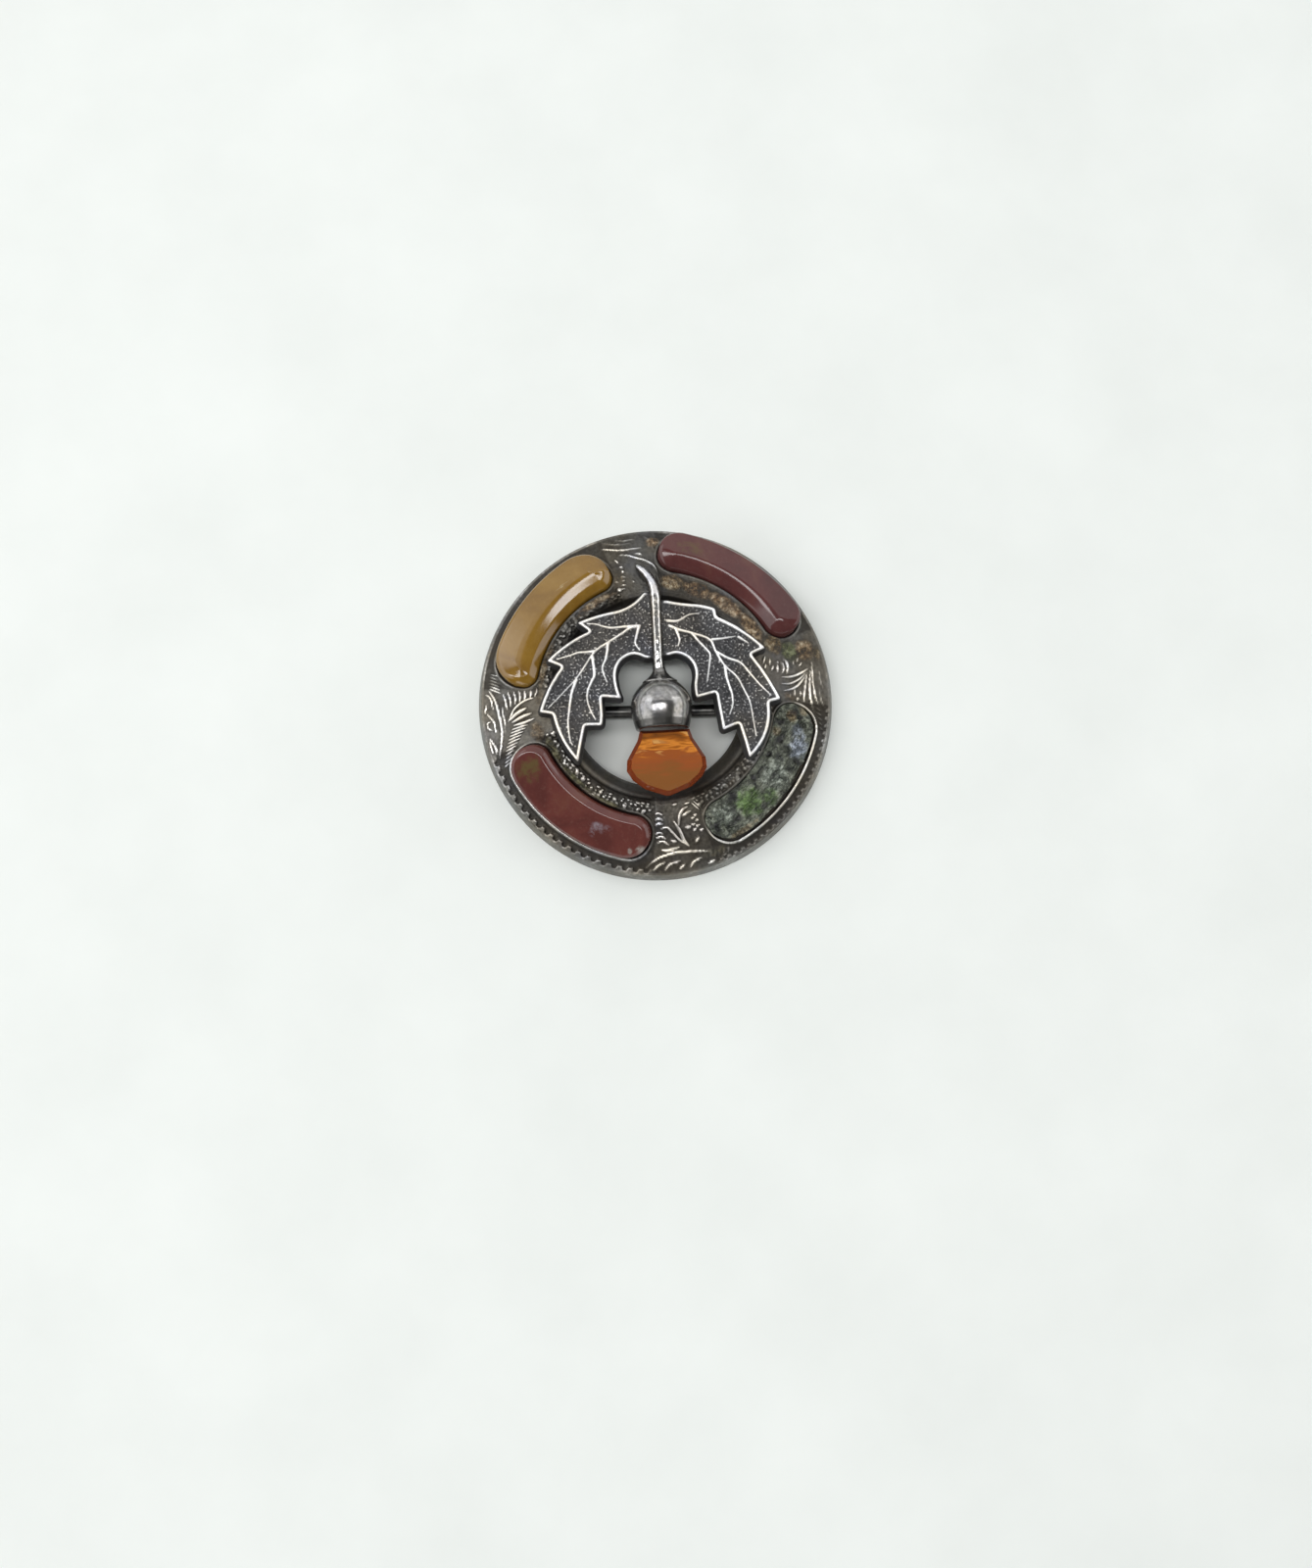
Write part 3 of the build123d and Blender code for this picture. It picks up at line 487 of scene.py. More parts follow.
JASPERS = (
    ("stone_red_upper", "red_jasper", "purple_jasper",
     (0.076, 0.024, 0.023), (0.098, 0.029, 0.027), (0.118, 0.046, 0.034), (0.12, 0.06, 0.052), 0.55,
     (("green", (0.11, 0.07, 0.025)),)),
    ("stone_ochre", "ochre_jasper", "ochre_jasper",
     (0.175, 0.085, 0.007), (0.225, 0.118, 0.011), (0.27, 0.15, 0.022), (0.28, 0.17, 0.04), 0.85,
     (("pale", (0.5, 0.42, 0.25)),)),
    ("stone_red_lower", "red_jasper", "red_jasper",
     (0.085, 0.022, 0.018), (0.115, 0.030, 0.024), (0.135, 0.045, 0.03), (0.15, 0.07, 0.055), 0.6,
     (("pale", (0.26, 0.22, 0.25)), ("green", (0.10, 0.075, 0.025)), ("chip", (0.30, 0.27, 0.24)))),
)
BROWN_CRUST = (
    (0.36, (0.014, 0.010, 0.007)), (0.46, (0.09, 0.05, 0.022)),
    (0.54, (0.26, 0.17, 0.09)), (0.64, (0.60, 0.50, 0.36)),
)
GREEN_CRUST = ((0.32, (0.012, 0.014, 0.008)), (0.5, (0.04, 0.06, 0.022)), (0.66, (0.12, 0.16, 0.07)))
CEMENT_GROUND = (
    (0.38, (0.006, 0.007, 0.005)), (0.5, (0.070, 0.078, 0.056)), (0.66, (0.30, 0.32, 0.25)),
)
CEMENT_CRUMBS = {
    "grey": ((0.38, (0.012, 0.013, 0.01)), (0.5, (0.13, 0.15, 0.12)), (0.64, (0.60, 0.65, 0.57))),
    "green": ((0.36, (0.012, 0.02, 0.006)), (0.5, (0.075, 0.13, 0.035)), (0.66, (0.25, 0.38, 0.14))),
    "blue": ((0.38, (0.02, 0.023, 0.025)), (0.5, (0.20, 0.23, 0.27)), (0.62, (0.72, 0.78, 0.90))),
    "tan": ((0.38, (0.03, 0.02, 0.01)), (0.5, (0.18, 0.14, 0.075)), (0.64, (0.50, 0.43, 0.29))),
    # The hole colours are painted shade, near black.
    "hole": ((0.4, (0.002, 0.002, 0.002)), (0.62, (0.012, 0.012, 0.010))),
}
# The citrine's colours down its face, where 1 lies its depth below the ring's centre.
CITRINE_DEPTH = 8.5
# It is darker towards its top, and the bright stop at 0.60 is a painted highlight band across the face.
# The streak colour paints highlight streaks into that band.
CITRINE_BODY_AND_HIGHLIGHT = (
    (0.42, (0.26, 0.085, 0.012)), (0.52, (0.50, 0.15, 0.016)), (0.60, (1.0, 0.36, 0.05)),
    (0.66, (0.46, 0.125, 0.025)), (0.82, (0.42, 0.115, 0.03)), (1.0, (0.33, 0.125, 0.03)),
)
CITRINE_HIGHLIGHT_STREAK = (1.0, 0.52, 0.15)
# The colour of painted shade on the facets that slope away from the face.
CITRINE_FACET_SHADE = (0.31, 0.06, 0.015)

# The lights: the direction they come from in degrees, how far they lean from straight up, their
# distance and size in metres, their power in watts and their turn about their own axis.
LIGHT_COLUMNS = ("name", "turn", "lean", "distance", "width", "height", "power", "spin")
LIGHTS = (
    ("overhead", 189.2, 12.5, 0.62, 0.13, 0.62, 1.8, -9.2),
    ("top", 88.0, 52.0, 0.6, 1.4, 0.7, 2.4, 0.0),
    ("left", 175.0, 62.0, 0.6, 0.8, 0.5, 1.8, 0.0),
    ("right", 5.0, 64.0, 0.6, 0.6, 0.4, 1.1, 0.0),
    ("front", 265.0, 68.0, 0.6, 0.6, 0.25, 0.8, 0.0),
)
WORLD_COLOUR = (0.95, 0.98, 1.0)
WORLD_STRENGTH = 0.12
PAPER_HALF_WIDTH = 0.45


# Helpers.
def rows(columns, table):
    """A table's rows as dictionaries."""
    return [dict(zip(columns, row)) for row in table]


def smooth(low, high, x):
    """0 below low, 1 above high, and a soft step between."""
    share = np.clip((x - low) / (high - low), 0.0, 1.0)
    return share * share * (3 - 2 * share)


def mix(a, b, share):
    """The value a share of the way from a to b."""
    return a + (b - a) * share


def wrapped(degrees, middle):
    """Angles about a middle one, from -180 to 180 degrees."""
    return (degrees - middle + 180) % 360 - 180


def rounded(distance, half_width, power):
    """A ridge's rounded profile: 1 on its line and 0 from its half width outward."""
    return np.clip(1 - (distance / half_width) ** 2, 0, 1) ** power


def chatter(x, y, scale, seed):
    """Seeded noise from about -1 to 1 at each point."""
    places = zip(x.ravel() / scale, y.ravel() / scale)
    return np.array([noise.noise((a, b, seed)) for a, b in places]).reshape(x.shape)


def linked(obj):
    """The object itself, once the scene has it."""
    bpy.context.scene.collection.objects.link(obj)
    return obj


def mesh_object(name, points, faces, material, masks):
    """A smooth-shaded mesh from points in millimetres that rides on the brooch."""
    mesh = bpy.data.meshes.new(name)
    mesh.from_pydata([tuple(p) for p in np.asarray(points) * MM], [], faces)
    for mask, values in masks.items():
        layer = mesh.attributes.new(mask, "FLOAT", "POINT")
        layer.data.foreach_set("value", np.asarray(values, np.float32))
    mesh.polygons.foreach_set("use_smooth", [True] * len(mesh.polygons))
    mesh.update()
    mesh.materials.append(material)
    obj = linked(bpy.data.objects.new(name, mesh))
    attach(obj, "root")
    return obj


def grid_faces(lines, length, first=0, lines_close=False):
    """Faces between neighbouring lines of points, from a first point on. Either each line is a
    closed ring, or the lines are open and close round as a row."""
    faces = []
    for i in range(lines if lines_close else lines - 1):
        a, b = first + i * length, first + (i + 1) % lines * length
        for k in range(length - 1 if lines_close else length):
            m = (k + 1) % length
            faces.append((a + k, a + m, b + m, b + k))
    return faces


def curve_points(points, steps=8):
    """Points along a smooth line through the given ones."""
    given = np.array(points, float)
    if len(given) < 3:
        return mix(given[0], given[-1], np.linspace(0, 1, steps + 1)[:, None])
    first, last = 2 * given[0] - given[1], 2 * given[-1] - given[-2]
    longer = np.vstack([first, given, last])
    share = np.arange(steps)[:, None] / steps
    runs = []
    for a, b, c, d in zip(longer, longer[1:], longer[2:], longer[3:]):
        square = (2 * a - 5 * b + 4 * c - d) * share**2
        cube = (3 * b - a - 3 * c + d) * share**3
        runs.append(0.5 * (2 * b + (c - a) * share + square + cube))
    return np.vstack([*runs, given[-1:]])


def line_distance(x, y, line):
    """How far each point is from a line of points, and how far along the line the nearest is."""
    best = np.full(x.shape, np.inf)
    along = np.zeros(x.shape)
    count = len(line) - 1
    for i in range(count):
        ax, ay = line[i]
        dx, dy = line[i + 1] - line[i]
        share = ((x - ax) * dx + (y - ay) * dy) / max(dx * dx + dy * dy, 1e-12)
        share = np.clip(share, 0, 1)
        distance = np.hypot(x - ax - dx * share, y - ay - dy * share)
        closer = distance < best
        best = np.where(closer, distance, best)
        along = np.where(closer, (i + share) / count, along)
    return best, along


# The ring.
def dome_height(radius):
    """The ring's upper surface without its relief, from the hole's slope to the rim's edge."""
    outward = np.clip((radius - CREST_RADIUS) / (RIM_TOP_RADIUS - CREST_RADIUS), 0, 1)
    swell = 4 * DOME_SWELL * outward * (1 - outward)
    dome = mix(CREST_HEIGHT, RIM_HEIGHT, outward) + swell
    slope = np.interp(
        radius,
        (HOLE_RADIUS, SLOPE_TOP_RADIUS, CREST_RADIUS),
        (HOLE_LIP_HEIGHT, SLOPE_TOP_HEIGHT, CREST_HEIGHT),
    )
    return np.where(radius < CREST_RADIUS, slope, dome)


def pocket_slope():
    """How steeply the pockets' planes fall outward."""
    inner, outer = POCKET_MID_RADIUS - POCKET_WIDTH / 2, POCKET_MID_RADIUS + POCKET_WIDTH / 2
    return float(dome_height(inner) - dome_height(outer)) / POCKET_WIDTH


def underside(radius):
    """The hollow back's height at a radius."""
    middle = float(dome_height(POCKET_MID_RADIUS)) - POCKET_DEPTH - POCKET_FLOOR
    return middle - (radius - POCKET_MID_RADIUS) * pocket_slope()


def pocket_distance(pocket, radius, degrees):
    """Signed distance in millimetres from a pocket's outline, below zero inside it."""
    inner, outer = pocket["radius"] - pocket["width"] / 2, pocket["radius"] + pocket["width"] / 2
    turn = wrapped(degrees, pocket["middle"])
    past_end = (np.abs(turn) - pocket["span"] / 2) * np.radians(radius)
    outer_round = pocket["outer_round"] * pocket["width"]
    outside = radius > outer - outer_round
    corner = np.where(outside, outer_round, pocket["width"] - outer_round)
    past_side = np.where(outside, radius - outer, inner - radius)
    across, along = past_side + corner, past_end + corner
    reach = np.hypot(np.maximum(across, 0), np.maximum(along, 0))
    return reach + np.minimum(np.maximum(across, along), 0) - corner


def pocket_frame(pocket):
    """A pocket's place: its origin on the dome, and its outward, sideways and up directions."""
    turn, tilt = math.radians(pocket["middle"]), math.atan(pocket_slope())
    flat_out = np.array([math.cos(turn), math.sin(turn), 0.0])
    straight_up = np.array([0.0, 0.0, 1.0])
    origin = pocket["radius"] * flat_out + dome_height(pocket["radius"]) * straight_up
    out = math.cos(tilt) * flat_out - math.sin(tilt) * straight_up
    up = math.sin(tilt) * flat_out + math.cos(tilt) * straight_up
    return origin, out, np.cross(up, out), up


def placed(pocket, line, height):
    """A line of points in a pocket's plane, lifted by a height over it."""
    origin, out, side, up = pocket_frame(pocket)
    return origin + line[:, :1] * out + line[:, 1:] * side + np.reshape(height, (-1, 1)) * up


def floor_height(pocket, x, y):
    """The height of a pocket's floor over x, y."""
    origin, _, _, up = pocket_frame(pocket)
    return origin[2] - (POCKET_DEPTH + (x - origin[0]) * up[0] + (y - origin[1]) * up[1]) / up[2]


def raise_stroke(relief, x, y, points, half_width, rise):
    """Adds a rounded stroke, thinner towards both ends, through points in degrees and radius."""
    turn, radius = curve_points(points).T
    line = np.stack([radius * np.cos(np.radians(turn)), radius * np.sin(np.radians(turn))], -1)
    low, high = line.min(0) - 1.5 * half_width, line.max(0) + 1.5 * half_width
    near = (x > low[0]) & (x < high[0]) & (y > low[1]) & (y < high[1])
    if not near.any():
        return
    distance, along = line_distance(x[near], y[near], line)
    ends = 1 - STROKE_TAPER * (2 * np.abs(along - 0.5)) ** 2
    stroke = rise * ends * rounded(distance, half_width * ends, 0.75)
    relief[near] = np.maximum(relief[near], stroke)


def beads(relief, radius, degrees):
    """Staggered rows of uneven beads on the inner side of the pockets."""
    rng = random.Random(4)
    for row_radius, shift in BEAD_ROWS:
        step = math.degrees(BEAD_STEP / row_radius)
        for pocket in rows(POCKET_COLUMNS, POCKETS):
            if not pocket["beaded"]:
                continue
            count = int((pocket["span"] + BEAD_OVERRUN) / step)
            for i in range(count):
                stray = rng.uniform(-BEAD_STRAY_TURN, BEAD_STRAY_TURN)
                turn = pocket["middle"] + (i - count / 2 + shift) * step + stray
                away = wrapped(degrees, turn)
                near = np.abs(away) < step
                along = np.radians(away[near]) * row_radius
                across = radius[near] - row_radius - rng.uniform(-BEAD_STRAY, BEAD_STRAY)
                reach = BEAD_RADIUS * rng.uniform(*BEAD_SIZES)
                along = along + rng.uniform(-BEAD_SHEAR, BEAD_SHEAR) * across
                rise = BEAD_HEIGHT * rng.uniform(*BEAD_RISES)
                bead = rise * rounded(np.hypot(along, across), reach, 0.5)
                relief[near] = np.maximum(relief[near], bead)


def ornament(x, y, radius, degrees):
    """The height of the raised work over the dome."""
    relief = np.zeros(x.shape)
    for panel in (TOP_PANEL, LEFT_PANEL, BOTTOM_PANEL, RIGHT_PANEL):
        for stroke in rows(STROKE_COLUMNS, panel):
            raise_stroke(relief, x, y, stroke["points"], stroke["half_width"], stroke["height"])
    for hatch in rows(HATCH_COLUMNS, HATCHES):
        first, last = np.array(hatch["first"]), np.array(hatch["last"])
        for share in np.arange(hatch["count"]) / (hatch["count"] - 1):
            ends = mix(first, last, share)
            raise_stroke(relief, x, y, ends, hatch["half_width"], hatch["height"])
    beads(relief, radius, degrees)
    return relief


def groove_depth(pocket, radius, degrees, distance):
    """The groove outside a pocket, whose outer edge is bitten by half-round notches."""
    turn = wrapped(degrees, pocket["middle"])
    inside = smooth(2.0, -2.0, np.abs(turn) - pocket["span"] / 2)
    edge = RIM_TOP_RADIUS - GROOVE_BORDER - pocket["reach"]
    if pocket["step"]:
        phase = np.radians(turn) * RIM_TOP_RADIUS / pocket["step"]
        across = np.abs((phase + 0.5) % 1 - 0.5) * pocket["step"]
        edge = edge + pocket["reach"] * rounded(across, pocket["notch"] / 2, 0.5)
    start = LIP_OFFSET + pocket["lip"]
    banks = smooth(start, start + 0.15, distance) * smooth(edge, edge - 0.1, radius)
    return pocket["depth"] * inside * banks


def patch_distance(cells, radius, degrees):
    """How far points are from a patch's middle, as a share of its spread that way."""
    away = wrapped(degrees, cells["turn"]) / cells["half_turn"]
    return np.hypot(away, (radius - cells["radius"]) / cells["half_width"])


def crust_cover(radius, degrees):
    """How thick the crust lies at each point, and how brown it is."""
    cover, brown = np.zeros((2, *radius.shape))
    for cells in rows(CRUST_COLUMNS, CRUSTS):
        amount = cells["amount"] * smooth(1.35, 0.35, patch_distance(cells, radius, degrees))
        brown = np.where(amount > cover, cells["brown"], brown)
        cover = np.maximum(cover, amount)
    return cover, brown


def blurred(field, across=2, around=3):
    """A field on the turns-by-rows grid, averaged over its neighbours."""
    shifts = range(-around, around + 1)
    field = sum(np.roll(field, shift, 0) for shift in shifts) / len(shifts)
    padded = np.pad(field, ((0, 0), (across, across)), mode="edge")
    window = [padded[:, k : k + field.shape[1]] for k in range(2 * across + 1)]
    return sum(window) / len(window)


def ring_surface():
    """The chased part of the ring on a polar grid: its points, and how worn, crusted and brown
    each one is."""
    turns = np.arange(FINE_TURNS) * 360 / FINE_TURNS
    shares, reached = np.array(ROW_PLACES).T
    radii = np.interp(np.linspace(0, 1, RELIEF_ROWS), shares, reached)
    degrees, radius = np.meshgrid(turns, radii, indexing="ij")
    x, y = radius * np.cos(np.radians(degrees)), radius * np.sin(np.radians(degrees))
    base = dome_height(radius)
    chased = smooth(SLOPE_TOP_RADIUS, CREST_RADIUS, radius)
    chased = chased * smooth(RIM_TOP_RADIUS - 0.02, RIM_TOP_RADIUS - 0.25, radius)
    relief = ornament(x, y, radius, degrees) * chased
    lip, shine, sink, cut = np.zeros((4, *radius.shape))
    low = base
    nearest = np.full(radius.shape, RIM_RADIUS)
    patchy = np.clip(0.85 + 0.9 * chatter(x, y, 1.6, 21.0), 0, 1)
    # The pockets: their floors, their lips, and the grooves outside them.
    for pocket in rows(POCKET_COLUMNS, POCKETS):
        distance = pocket_distance(pocket, radius, degrees)
        nearest = np.minimum(nearest, distance)
        band = rounded(distance - LIP_OFFSET, pocket["lip"], 0.6)
        outer = smooth(pocket["radius"] - 1.0, pocket["radius"] + 1.0, radius)
        lip = np.maximum(lip, pocket["lip_height"] * band * mix(INNER_LIP_SHARE, 1.0, outer))
        shine = np.maximum(shine, pocket["lip_wear"] * band * outer * patchy)
        inside = smooth(0.05, -0.08, distance)
        sink = np.maximum(sink, inside)
        low = np.where(inside > 0, floor_height(pocket, x, y), low)
        cut = np.maximum(cut, groove_depth(pocket, radius, degrees, distance))
    # The crust lies in lumps, outside the pockets and above the hole's slope.
    cover, brown = crust_cover(radius, degrees)
    slope_edge = smooth(SLOPE_TOP_RADIUS - 0.1, SLOPE_TOP_RADIUS + 0.3, radius)
    cover = cover * smooth(0.0, 0.15, nearest) * slope_edge
    lumps = 0.5 + 0.5 * chatter(x, y, 0.5, 12.0) + 0.45 * chatter(x, y, 0.2, 14.0)
    cover = np.clip(cover * 1.6 - 0.5 + 0.5 * lumps * cover, 0, 1)
    relief = relief * smooth(0.18, 0.4, nearest) * (1 - CRUST_BURIES * cover)
    texture = TEXTURE_HEIGHT * (chatter(x, y, 0.35, 3.0) + chatter(x, y, 0.18, 8.0))
    texture = texture * chased * smooth(0.1, 0.4, nearest)
    raised = np.maximum(relief, lip) - cut + texture + CRUST_HEIGHT * cover * np.clip(lumps, 0, 1.2)
    height = mix(base + raised, low, sink)
    # The silver is worn where it stands above what is round it, and dark in its hollows.
    places = rows(WEAR_COLUMNS, WEAR_PLACES)
    ground_wear, raised_wear = (
        np.interp(degrees, [place["turn"] for place in places], [place[kind] for place in places])
        for kind in ("ground", "raised")
    )
    standing = raised - blurred(blurred(raised))
    worn = smooth(0.05, 0.2, relief) * RELIEF_WEAR + np.clip(standing * 2.5, -0.3, 0.4)
    worn = raised_wear * worn + ground_wear + BASE_WEAR + shine
    worn = worn + RIM_WEAR * smooth(RIM_TOP_RADIUS - 0.3, RIM_TOP_RADIUS - 0.05, radius)
    worn = worn - GROOVE_DARKENS * smooth(0.02, 0.12, cut)
    worn = np.clip(worn, 0, 1) * (1 - np.maximum(sink, CRUST_DARKENS * cover))
    return np.stack([x, y, height], -1), {"wear_and_painted_light": worn, "crust": cover, "brown": brown}


def ring_profile():
    """The plain part of the ring, from the rim's top edge down, over the hollow back and up the
    hole's wall: a radius, a height and how worn it is for each place."""
    rise = float(dome_height(RELIEF_INNER_RADIUS)) - HOLE_LIP_HEIGHT
    steep = rise / (RELIEF_INNER_RADIUS - HOLE_RADIUS)
    join = RELIEF_INNER_RADIUS - 0.2
    pocket_edge = POCKET_MID_RADIUS - POCKET_WIDTH / 2
    rim = ((0.1, 0.07), (0.5, 0.5), (0.97, 0.95))
    places = [
        (mix(RIM_TOP_RADIUS, RIM_RADIUS, out), mix(RIM_HEIGHT, 0, down), 0.4) for out, down in rim
    ]
    return places + [
        (RIM_RADIUS - 0.06, 0.0, 0.3),
        (RIM_INNER_RADIUS + 0.05, 0.0, 0.2),
        (RIM_INNER_RADIUS - 0.03, 0.08, 0.2),
        (HOLLOW_RADIUS, underside(HOLLOW_RADIUS), 0.2),
        (POCKET_MID_RADIUS, underside(POCKET_MID_RADIUS), 0.2),
        (pocket_edge, underside(pocket_edge), 0.2),
        (HOLE_LIP_RADIUS, HOLE_LIP_HEIGHT, 0.2),
        (HOLE_RADIUS + 0.05, HOLE_LIP_HEIGHT - 0.02, 0.2),
        (HOLE_RADIUS, HOLE_LIP_HEIGHT + 0.06, 0.3),
        (HOLE_RADIUS + 0.3, HOLE_LIP_HEIGHT + 0.4, 0.36),
        (HOLE_RADIUS + 0.75, HOLE_LIP_HEIGHT + 0.95, 0.34),
        (join, HOLE_LIP_HEIGHT + steep * (join - HOLE_RADIUS), 0.32),
    ]


def ring(material):
    """The ring: the chased surface, joined to its rim, hollow back and hole."""
    chased, masks = ring_surface()
    profile = np.array(ring_profile())
    coarse, length, count = FINE_TURNS // COARSE_SHARE, len(profile), FINE_TURNS * RELIEF_ROWS
    turned = np.arange(coarse)[:, None] * 2 * math.pi / coarse
    radius, height, plain_wear = profile.T
    plain = np.stack(
        [radius * np.cos(turned), radius * np.sin(turned), np.tile(height, (coarse, 1))], -1
    )
    points = np.vstack([chased.reshape(-1, 3), plain.reshape(-1, 3)])
    faces = grid_faces(FINE_TURNS, RELIEF_ROWS, lines_close=True)
    faces += grid_faces(coarse, length, count, lines_close=True)
    for i in range(coarse):
        a, b = count + i * length, count + (i + 1) % coarse * length
        steps = range(i * COARSE_SHARE, (i + 1) * COARSE_SHARE + 1)
        fine = [step % FINE_TURNS * RELIEF_ROWS for step in steps]
        faces.append([f + RELIEF_ROWS - 1 for f in fine][::-1] + [a, b])
        faces.append(fine + [b + length - 1, a + length - 1])
    plain_masks = {"wear_and_painted_light": plain_wear, "crust": 0 * plain_wear, "brown": 0 * plain_wear}
    for mask, values in plain_masks.items():
        masks[mask] = np.concatenate([masks[mask].ravel(), np.tile(values, coarse)])
    return mesh_object("silver_ring", points, faces, material, masks)


# The thistle spray.
def leaf_outline(side, table):
    """A leaf's closed outline as points in millimetres."""
    cells = rows(LEAF_COLUMNS, table)
    corners = spray_points(side, [(c["across"], c["up"]) for c in cells])
    outline = []
    for cell, start, end in zip(cells, corners, np.roll(corners, -1, 0)):
        run = end - start
        out = np.array([-run[1], run[0]]) * side
        steps = max(2, int(np.linalg.norm(run) / OUTLINE_STEP))
        for share in np.arange(steps) / steps:
            bow = cell["bend"] * 4 * share * (1 - share)
            outline.append(start + run * share + out * bow)
    outline = np.array(outline)
    for _ in range(2):
        outline = 0.5 * outline + 0.25 * np.roll(outline, 1, 0) + 0.25 * np.roll(outline, -1, 0)
    return outline


def spray_points(side, places):
    """Points in millimetres from shares of the leaves' reach: side is -1 for the left leaf."""
    return np.array([(side * a * LEAF_REACH + SPRAY_AXIS_X, b * LEAF_REACH) for a, b in places])


def inside_outline(x, y, outline):
    """Whether each point is inside a closed outline."""
    inside = np.zeros(x.shape, bool)
    for (ax, ay), (bx, by) in zip(outline, np.roll(outline, -1, 0)):
        crosses = (ay > y) != (by > y)
        with np.errstate(divide="ignore", invalid="ignore"):
            at = (bx - ax) * (y - ay) / (by - ay) + ax
        inside ^= crosses & (x < at)
    return inside


def signed_area(outline):
    """A closed outline's area, below zero where it runs clockwise."""
    x, y = outline.T
    return 0.5 * np.sum(x * np.roll(y, -1) - np.roll(x, -1) * y)


def leaf_plan(outline):
    """A leaf's top seen from above: its points, its triangles, and which of the points lie along
    the outline."""
    low, high = outline.min(0), outline.max(0)
    gx = np.arange(low[0], high[0], LEAF_GRID)
    gy = np.arange(low[1], high[1], LEAF_GRID * 0.87)
    x, y = np.meshgrid(gx, gy, indexing="ij")
    x = x + (np.arange(len(gy)) % 2)[None, :] * LEAF_GRID / 2
    inside = inside_outline(x, y, outline)
    x, y = x[inside], y[inside]
    edge, _ = line_distance(x, y, np.vstack([outline, outline[:1]]))
    keep = edge > LEAF_GRID * 0.55
    flat = np.vstack([outline, np.column_stack([x[keep], y[keep]])])
    count = len(outline)
    border = [(i, (i + 1) % count) for i in range(count)]
    verts, _, tris, origin, _, _ = delaunay_2d_cdt([Vector(p) for p in flat], border, [], 1, 1e-5)
    order = {source: new for new, sources in enumerate(origin) for source in sources}
    return np.array([tuple(v) for v in verts]), list(tris), [order[i] for i in range(count)]


def leaf_relief(side, x, y, edge, veins, seed):
    """How far a leaf's edge, veins and punched ground rise, and how worn each point is, with painted
    glints on the punched ground.
    """
    near_axis = smooth(1.2, 0.5, np.abs(x - SPRAY_AXIS_X))
    border = rounded(edge - RIDGE_WIDTH * 0.5, RIDGE_WIDTH * 0.62, 0.6)
    relief = RIDGE_HEIGHT * border * (1 - near_axis)
    for vein in veins:
        distance, along = line_distance(x, y, curve_points(spray_points(side, vein), 6))
        rise = RIDGE_HEIGHT * (1.05 - 0.35 * along)
        ridge = rise * rounded(distance, VEIN_HALF_WIDTH * (1.15 - 0.55 * along), 0.7)
        relief = np.maximum(relief, ridge)
    punched = chatter(x, y, 0.2, seed)
    ground = smooth(0.06, 0.0, relief) * smooth(RIDGE_WIDTH, RIDGE_WIDTH + 0.15, edge)
    stipple = smooth(0.0, 0.4, punched) * 0.12 + 0.05 * chatter(x, y, 0.45, seed + 5)
    # Worn ridges are lighter, and specks of the punched ground are painted glints.
    wear_and_painted_light = 0.12 + 0.95 * relief / RIDGE_HEIGHT + 0.5 * ground * smooth(0.05, 0.45, punched)
    return relief + ground * stipple, np.clip(wear_and_painted_light, 0, 1)


def leaf(name, side, table, veins, material, seed):
    """One leaf: a plate with a rounded raised edge, raised veins and a punched ground."""
    outline = leaf_outline(side, table)
    plan, faces, rim = leaf_plan(outline)
    x, y = plan.T
    edge, _ = line_distance(x, y, np.vstack([outline, outline[:1]]))
    relief, wear_and_painted_light = leaf_relief(side, x, y, edge, veins, seed)
    points = [np.column_stack([plan, LEAF_TOP + relief])]
    turned = -1 if signed_area(outline) < 0 else 1
    run = np.roll(outline, -1, 0) - np.roll(outline, 1, 0)
    run = run / np.linalg.norm(run, axis=1, keepdims=True)
    outward = np.stack([run[:, 1], -run[:, 0]], -1) * turned
    foot = LEAF_UNDERSIDE + LEAF_FOOT_THICKNESS
    levels = (
        (0.03, LEAF_TOP - 0.02),
        (0.05, foot + 0.15),
        (LEAF_FOOT_FLARE, foot - 0.1),
        (LEAF_FOOT_FLARE, LEAF_UNDERSIDE + 0.05),
        (0.1, LEAF_UNDERSIDE),
    )
    loops = [rim]
    for i, (grow, z) in enumerate(levels):
        first = len(plan) + i * len(rim)
        loops.append(range(first, first + len(rim)))
        points.append(np.column_stack([outline + outward * grow, np.full(len(rim), z)]))
    for upper, lower in zip(loops, loops[1:]):
        for i in range(-1, len(rim) - 1):
            faces.append((upper[i], lower[i], lower[i + 1], upper[i + 1])[::turned])
    faces.append(loops[-1][::-turned])
    wear_and_painted_light = np.append(wear_and_painted_light, [LEAF_WALL_WEAR] * len(levels) * len(rim))
    return mesh_object(name, np.vstack(points), faces, material, {"wear_and_painted_light": wear_and_painted_light})


